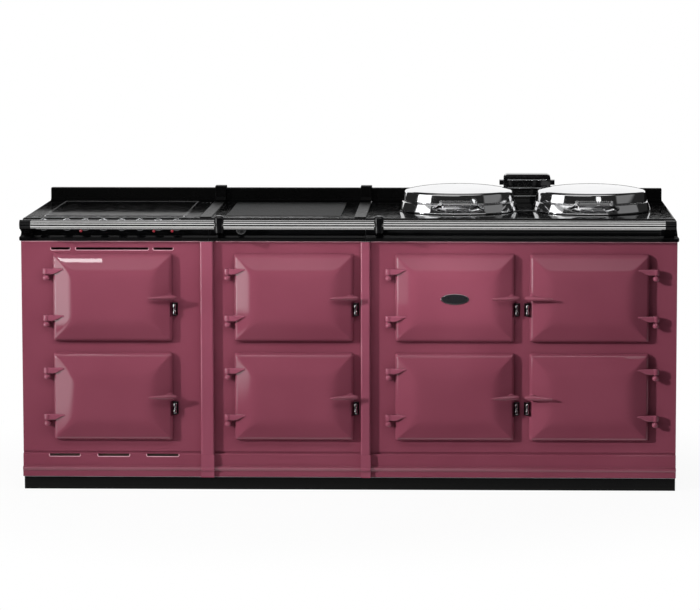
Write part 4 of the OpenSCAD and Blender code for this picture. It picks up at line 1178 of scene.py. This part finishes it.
@dataclass
class Lid:
    """A domed hotplate lid with its hinge knuckle, its sprung grip and its inner panel."""

    side: str
    x: float
    y: float = PANEL_Y + 300.0
    radius: float = 193.0
    wall: float = 3.0
    pivot_y: float = 214.0
    pivot_z: float = 22.0
    grip_y: float = -230.0
    grip_z: float = 38.0
    grip_len: float = 104.0
    turns: int = 16
    coil_radius: float = 10.0
    wire: float = 4.0
    foot_angle: float = 23.5
    foot_z: float = 20.0

    def dome(self) -> Shell:
        """The shell's section turned about the lid's axis.

        The crown's height is 83 - 0.000356 r^2 - 0.0000000067 r^4, and below it
        come the shoulder, the upper band, the groove and the flared foot.
        """
        r = np.append(np.linspace(0, 168, 30), 171.0)
        crown = 83 - 3.56e-4 * r**2 - 6.7e-9 * r**4
        side = softened([
            [r[-1], crown[-1]], [176.0, 62.5], [182.2, 35.6], [182.4, 33.6], [180.8, 33.0],
            [181.4, 31.6], [184.4, 30.2], [192.8, 5.0], [192.8, 1.0], [189.0, 1.0],
        ], 5.0, 7)
        inside = [[189.0, 4.0], [185.5, 16.0], [174, 16], [174, 19], [180, 21], [172, 57]]
        inner = columns(r, crown - self.wall - 0.5)[::-1]
        return revolved(np.vstack([columns(r, crown), side[1:], inside, inner[1:]]), 160)

    def knuckle(self) -> Shell:
        """The block behind the lid and the barrel that turns on the hinge's pin."""
        block = box([-30, self.radius - 12, 14], [30, self.pivot_y, 30], 1.5)
        barrel = spun([[0, -30], [10, -30], [10, 30], [0, 30]], 1.2, 4, 40)
        barrel = barrel.turned((0, 1, 0), 90).moved(0, self.pivot_y, self.pivot_z)
        return joined([block, barrel])

    def coil(self) -> Shell:
        """The sprung grip: x = run t, angle = 2 pi turns t, at the coil's radius."""
        t = np.linspace(0, 1, self.turns * 20 + 1)
        x = (t - 0.5) * (self.grip_len - self.wire)
        angle = 2 * math.pi * self.turns * t
        out = columns(0.0, -np.cos(angle), np.sin(angle))
        return swept(out * self.coil_radius + columns(x, 0.0, 0.0), self.wire / 2, 8, out)

    def arm(self, side: int) -> Shell:
        """An arm of the grip: a bar from its boss to its foot, and the foot on the lid's side.

        The bar is start + (end - start) t, with a sag of 2 sin(pi t) below it.

        Args:
            side: 1 for the arm at the right, -1 for the arm at the left.

        Returns:
            The bar and the foot.
        """
        turn, reach = math.radians(self.foot_angle), self.radius - self.wall
        start = np.array([side * (self.grip_len / 2 + 4), self.grip_y, self.grip_z])
        end = np.array([side * reach * math.sin(turn), -reach * math.cos(turn), self.foot_z])
        t = np.linspace(0, 1, 13)
        path = start + (end - start) * t[:, None] + columns(0.0, 0.0, -2.0 * np.sin(math.pi * t))
        bar = swept(path, np.interp(t, [0, 0.15, 0.6, 1], [6.6, 6.0, 5.2, 6.2]), 24, np.array([0.0, 0, 1]))
        foot = spun([[0, 0], [6.8, 0], [7.4, 2.5], [6.6, 9.5], [0, 9.5]], 1.2, 4, 36)
        foot = foot.turned((1, 0, 0), -90).moved(0, -self.radius - 1, self.foot_z)
        return joined([bar, foot.turned((0, 0, 1), side * self.foot_angle)])

    def grip(self) -> Shell:
        """The grip's coil and rod, and at each end a stepped boss and an arm."""
        half = self.grip_len / 2
        rod = np.array([[-half - 3, 0, 0], [0, 0, 0], [half + 3, 0, 0]])
        parts = [self.coil(), swept(rod, 5.0, 24, np.array([0.0, 0, 1]))]
        cap = [[0, 0], [12.4, 0], [12.4, 3], [11.2, 4.2], [11.6, 6], [10.5, 8], [0, 9]]
        boss = spun(cap, 1.4, 5, 48).turned((0, 1, 0), 90).moved(half, 0, 0)
        parts = [p.moved(0, self.grip_y, self.grip_z) for p in (*parts, boss.handed(-1), boss)]
        return joined([*parts[:3], self.arm(-1), parts[3], self.arm(1)])

    def build(self, shop: Workshop) -> None:
        """Makes the lid and its grip at the lid's place on the hob."""
        body = "lid_" + self.side
        shell = joined([self.dome(), self.knuckle()]).moved(self.x, self.y, HOB_Z)
        shop.piece(body + "_dome", shell, "chrome", body, [body])
        grip = self.grip().moved(self.x, self.y, HOB_Z)
        shop.piece(body + "_grip", grip, "chrome", body, ["lid_handle_" + self.side])


# Knobs and badge


@dataclass
class Knob:
    """A turning knob: a bright bezel, a dark grip with a bar across it, and a mark."""

    name: str
    x: float
    z: float
    across: float = 40.0
    out: float = 30.0

    def build(self, shop: Workshop) -> None:
        """Turns the bezel and the grip about the knob's axis, and lays the bar and mark on them."""
        r, top = self.across / 2, self.out - 5
        bezel = spun([
            [0, -16], [4, -16], [4, 0], [r - 1, 0], [r, 1], [r, 4], [r - 1.6, 5.4], [r - 3.4, 5.6],
            [r - 4.4, 4.6], [0, 4.6],
        ], 0.8, 4, 64)
        grip = spun([
            [0, 4.0], [r - 4.8, 4.0], [r - 5.2, 7], [r - 6.0, self.out - 9], [r - 7.4, top - 0.6], [0, top],
        ], 1.8, 5, 56)
        bar = box([-3, 6 - r, 6], [3, r - 6, self.out], 1.4)
        mark = box([-0.9, r - 9.5, self.out - 1], [0.9, r - 6.6, self.out - 0.05], 0.3)
        for part, shell, finish, nodes in (
            ("_bezel", bezel, "knob", [self.name]), ("_grip", joined([grip, bar]), "knob_grip", [self.name]),
            ("_mark", mark, "mark", []),
        ):
            placed = shell.turned((1, 0, 0), 90).moved(self.x, PANEL_Y, self.z)
            shop.piece(self.name + part, placed, finish, self.name, nodes)


@dataclass
class Badge:
    """The bare oval plate on the upper door of the third column: a bright rim round a dark field.

    Each row of the rim and the field is an inset from the oval's edge, and how
    far the row stands in front of the panels.
    """

    width: float = 90.0
    height: float = 35.0
    rim: Spans = (
        (0.6, 45.0), (0.0, 45.6), (0.0, 47.6), (0.5, 48.6), (1.3, 49.0), (2.2, 48.8), (2.8, 48.2),
        (3.0, 47.4), (6.0, 47.2),
    )
    face: Spans = ((2.9, 46.0), (2.9, 47.6), (3.6, 47.9), (8.0, 48.2), (12.0, 48.4))

    def oval(self, inset: float, out: float) -> np.ndarray:
        """A ring of the plate's outline: an ellipse drawn in by inset, out from the panel."""
        a = np.linspace(0, 2 * math.pi, 96, endpoint=False)
        return columns(
            (self.width / 2 - inset) * np.cos(a), -out, (self.height / 2 - inset) * np.sin(a)
        )

    def build(self, shop: Workshop) -> None:
        """Makes the rim and the field, which stand on the door's crown."""
        door = Door(Column.CENTRE, Row.UPPER)
        for name, rows, finish in (
            ("badge_rim", self.rim, "badge"), ("badge_field", self.face, "badge_field"),
        ):
            shell = door.placed(lofted(np.stack([self.oval(*row) for row in rows])))
            shop.piece(name, shell, finish, door.name, ["badge_plate"])


# Stage


@dataclass
class Stage:
    """The floor, the cards that show in polished metal, the lamps, the world and the camera.

    Each of the boxes is a soft light on the surround: its start, its end and the
    softness of its edge in degrees of azimuth, the same three in metres of
    height, and its level.
    """

    eye: Triple = (0.3767, -9.8215, 1.7843)
    aim: Triple = (0.1819, -0.2735, 0.8205)
    lens: float = 156.02
    shift: tuple[float, float] = (-0.08, -0.1)
    grey: float = 0.12
    away: float = 5.0
    boxes: tuple[tuple[float, ...], ...] = (
        (-68.0, -51.0, 15.0, -1.0, 1.2, 0.3, 3.6),
        (-77.0, -71.0, 1.5, -1.0, 1.2, 0.3, 9.0),
        (-94.0, -59.0, 1.5, 1.9, 3.45, 0.1, 1.6),
        (-94.0, -59.0, 2.0, 3.5, 5.4, 0.3, 0.35),
        (60.0, 100.0, 4.0, 2.0, 3.6, 0.2, 0.16),
        (-70.0, 2.0, 10.0, 4.1, 5.2, 0.3, 1.0),
    )

    def stood(
        self, name: str, data: bpy.types.ID, place: Triple, toward: Sequence[float]
    ) -> bpy.types.Object:
        """Puts a camera or a lamp at a place, looking in a direction."""
        made = linked(name, data)
        made.location = place
        made.rotation_euler = Vector(toward).to_track_quat("-Z", "Y").to_euler()
        return made

    def camera(self) -> None:
        """Sets the camera up where the photograph was taken from."""
        lens = bpy.data.cameras.new("camera")
        lens.lens, lens.sensor_width = self.lens, 36.0
        lens.shift_x, lens.shift_y = self.shift
        lens.clip_start, lens.clip_end = 0.1, 200.0
        toward = Vector(self.aim) - Vector(self.eye)
        bpy.context.scene.camera = self.stood("camera", lens, self.eye, toward)

    def seen(self, board: Board) -> Socket:
        """1 for rays from the eye, off a gloss or through glass, and 0 for the others."""
        path = board.add("LightPath").outputs
        both = board.sum("MAXIMUM", path["Is Camera Ray"], path["Is Glossy Ray"])
        return board.sum("MAXIMUM", both, path["Is Transmission Ray"])

    def world(self) -> None:
        """A white surround to look at, and a grey one for the light that it gives."""
        b = Board("studio", world=True)
        bpy.context.scene.world = b.owner
        light = b.add("Background", {0: (self.grey, self.grey, self.grey, 1)}).outputs[0]
        white = b.add("Background", {0: WHITE}).outputs[0]
        b.end(b.add("MixShader", {0: self.seen(b), 1: light, 2: white}))

    def floor(self) -> None:
        """A white floor that keeps the cooker's shadow and melts into the surround further out.

        Further out is the distance sqrt((0.75 x)^2 + (y + 0.1)^2), from 0.6 to 1.5 m.
        """
        b = Board("floor")
        split = b.add("SeparateXYZ", {0: b.place}).outputs
        far = b.span(b.sum("MULTIPLY", split[0], 0.75), b.sum("ADD", split[1], 0.1))
        share = b.sum("MULTIPLY", b.spread(far, 0.93, 1.0, 0.6, 1.5), self.seen(b))
        matt = b.add("BsdfDiffuse", {"Color": (0.93, 0.93, 0.93, 1)}).outputs[0]
        white = b.add("Emission", {"Color": WHITE, "Strength": 1.0}).outputs[0]
        made = b.end(b.add("MixShader", {0: share, 1: matt, 2: white}))
        self.sheet("floor", (-30, -30, 0), (30, 30, 0), made, shown=True)

    def window(self, b: Board, value: Socket, low: float, high: float, soft: float) -> Socket:
        """1 while a value lies between low and high, fading to 0 over soft on both sides."""
        rise = b.spread(value, 0.0, 1.0, low - soft, low)
        return b.sum("MULTIPLY", rise, b.spread(value, 1.0, 0.0, high, high + soft))

    def pattern(
        self, b: Board, across: Socket, up: Socket, boxes: Rows, ground: float
    ) -> bpy.types.Material:
        """Emission that is a ground plus a sum of soft-edged rectangles over two coordinates.

        Args:
            b: the card's tree.
            across: the first coordinate.
            up: the second coordinate.
            boxes: for each rectangle its start, end and softness across and up, and its level.
            ground: the level where no rectangle is.

        Returns:
            The card's material.
        """
        total = ground
        for a0, a1, soft_a, z0, z1, soft_z, level in boxes:
            side, rise = self.window(b, across, a0, a1, soft_a), self.window(b, up, z0, z1, soft_z)
            lit = b.sum("MULTIPLY", b.sum("MULTIPLY", side, rise), level)
            total = b.sum("ADD", total, lit)
        return b.end(b.add("Emission", {"Color": WHITE, "Strength": total}))

    def surround(self) -> None:
        """A curved card round the front that only gloss sees, dark, with soft boxes on it.

        A point at azimuth a and height z stands at (away sin a, -away cos a, z).
        """
        b = Board("surround")
        split = b.add("SeparateXYZ", {0: b.place}).outputs
        azimuth = b.sum("ARCTAN2", split[0], b.sum("MULTIPLY", split[1], -1.0))
        made = self.pattern(b, b.sum("MULTIPLY", azimuth, 180 / math.pi), split[2], self.boxes, 0.02)
        turns, heights = np.radians(np.linspace(-145, 145, 101)), np.linspace(-0.3, 7.5, 9)
        a, z = np.meshgrid(turns, heights, indexing="ij")
        points = columns(self.away * np.sin(a), -self.away * np.cos(a), z).reshape(-1, 3)
        self.staged("surround", points, grid_faces(len(turns), len(heights), False), made)

    def staged(
        self, name: str, points: Rows, faces: Rows, material: bpy.types.Material, shown: bool = False
    ) -> None:
        """Makes a stage piece through points in metres, seen in gloss alone unless it is shown."""
        mesh = bpy.data.meshes.new(name)
        mesh.from_pydata(np.array(points, float).tolist(), [], np.array(faces).tolist())
        mesh.materials.append(material)
        made = linked(name, mesh)
        made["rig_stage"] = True
        if not shown:
            made.visible_camera = made.visible_diffuse = False
            made.visible_shadow = made.visible_transmission = False

    def sheet(
        self, name: str, low: Triple, high: Triple, material: bpy.types.Material, shown: bool = False
    ) -> None:
        """Makes a flat stage piece between two corners in metres."""
        around = [low, (high[0], *low[1:]), high, (low[0], *high[1:])]
        self.staged(name, around, [(0, 1, 2, 3)], material, shown)

    def card(
        self, name: str, low: Triple, high: Triple, boxes: Rows, ground: float = 0.004
    ) -> None:
        """A flat card that only gloss sees.

        Args:
            name: the card's name.
            low: its first corner, in metres.
            high: the corner across from it, with the same y or, on a level card, the same z.
            boxes: the soft rectangles over x and height or, on a level card, over x and y.
            ground: the level where no rectangle is.
        """
        b = Board(name)
        split = b.add("SeparateXYZ", {0: b.place}).outputs
        made = self.pattern(b, split[0], split[2] if low[1] == high[1] else split[1], boxes, ground)
        self.sheet(name, low, high, made)

    def cards(self) -> None:
        """The cards near the cooker: behind the hob, before and above the rail, on the floor and overhead."""
        wide = (-4, 4, 1)
        even = (*wide, -2, 2, 1)
        for name, low, high, lit in (
            (
                "behind", (-2.4, 0.62, 0.875), (2.4, 0.62, 0.965),
                (-1.2, -0.13, 0.02, 0.935, 0.951, 0.004, 0.22),
            ),
            ("rail_front", (-1.1, -0.62, 0.815), (1.1, -0.62, 1.048), (*wide, 0.893, 2, 0.003, 0.72)),
            ("door", (-0.943, -0.4177, 0.8212), (-0.795, -0.3962, 0.8212), (*even, 13.0)),
            ("rail_line", (-1.1, -0.4, 0.88), (1.1, -0.4, 0.896), (*even, 0.03)),
            ("lid_shade", (-1.1, -0.45, 0.966), (1.1, -0.45, 1.02), (*even, 0.01)),
            ("rail_under", (-1.1, -0.43, 0.822), (1.1, -0.386, 0.822), (*even, 0.66)),
            ("strip", (-1.08, -0.55, 1.0), (1.08, -0.55, 1.035), (*even, 14.0)),
            ("sill", (-1.1, -0.365, 0.8), (1.1, -0.276, 0.8), (-0.99, 0.99, 0.004, -2, 2, 1, 0.22)),
            ("lids", (0.93, -1.1, 1.02), (1.12, -1.1, 1.36), (*even, 1.3)),
        ):
            self.card("card_" + name, low, high, [lit])
        floor_boxes = [(*wide, -2.0, -0.4, 1.0, 0.02), (-6.0, -2.3, 0.7, -2.4, 0.0, 0.3, 2.2)]
        self.card("card_floor", (-5.4, -5.4, 0.003), (5.4, -0.4, 0.003), floor_boxes)
        self.card("card_over", (-9, -5.2, 7.5), (9, 9, 7.5), [(*wide, -3.6, -0.3, 0.3, 0.68)], 0.02)

    def lamp(
        self, name: str, kind: str, toward: Triple, place: Triple = (0, 0, 0), **settings: object
    ) -> None:
        """Makes a lamp that no gloss shows, with its settings by name."""
        made = self.stood(name, bpy.data.lights.new(name, kind), place, toward)
        for key, value in settings.items():
            setattr(made.data, key, value)
        made.visible_glossy = False

    def lamps(self) -> None:
        """A key from the upper left for the doors' shadows, a soft fill from above and a faint beam."""
        self.lamp("key", "SUN", (1.45, 1.0, -0.6), energy=2.7, angle=math.radians(2.0))
        self.lamp(
            "fill", "AREA", (0.0, 1.0, -0.5), (-0.5, -0.95, 1.12),
            shape="RECTANGLE", size=2.2, size_y=0.25, energy=9.0,
        )
        self.lamp(
            "beam", "SPOT", (0.02, 1.0, -0.12), (0.32, -1.25, 0.75),
            energy=13.0, spot_size=math.radians(30), spot_blend=1.0, shadow_soft_size=0.05,
        )

    def build(self) -> None:
        """Sets up the whole stage."""
        self.camera()
        self.world()
        self.floor()
        self.surround()
        self.cards()
        self.lamps()
        bpy.context.scene.view_settings.view_transform = "Standard"


def build_cooker() -> None:
    """Builds every piece of the cooker on its stage, in order."""
    Stage().build()
    shop = Workshop(Finishes())
    fixed = (Casing(), Vents(), CowlBars(), HobLamps(), Handrails(), HingeBrackets(), Catches())
    for part in (*fixed, *doors()):
        part.build(shop)
    for side, x in (("left", 347.0), ("right", 779.0)):
        Lid(side, x).build(shop)
    for number, x in enumerate((-968.0, -893.0, -835.0, -777.0, -719.0, -661.0, -603.0, -545.0), 1):
        Knob(f"hob_knob_{number}", x, 852.0).build(shop)
    Knob("control_dial", -341.0, 837.0, across=32.0).build(shop)
    Badge().build(shop)


def corners() -> list[list[float]]:
    """The whole object's lowest and highest corners, as plain numbers."""
    return [list(map(float, corner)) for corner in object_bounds()]


def main() -> None:
    """Builds the cooker."""
    logging.basicConfig(level=logging.INFO, format="%(name)s %(message)s")
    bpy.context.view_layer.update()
    build_cooker()


if __name__ == "__main__":
    main()
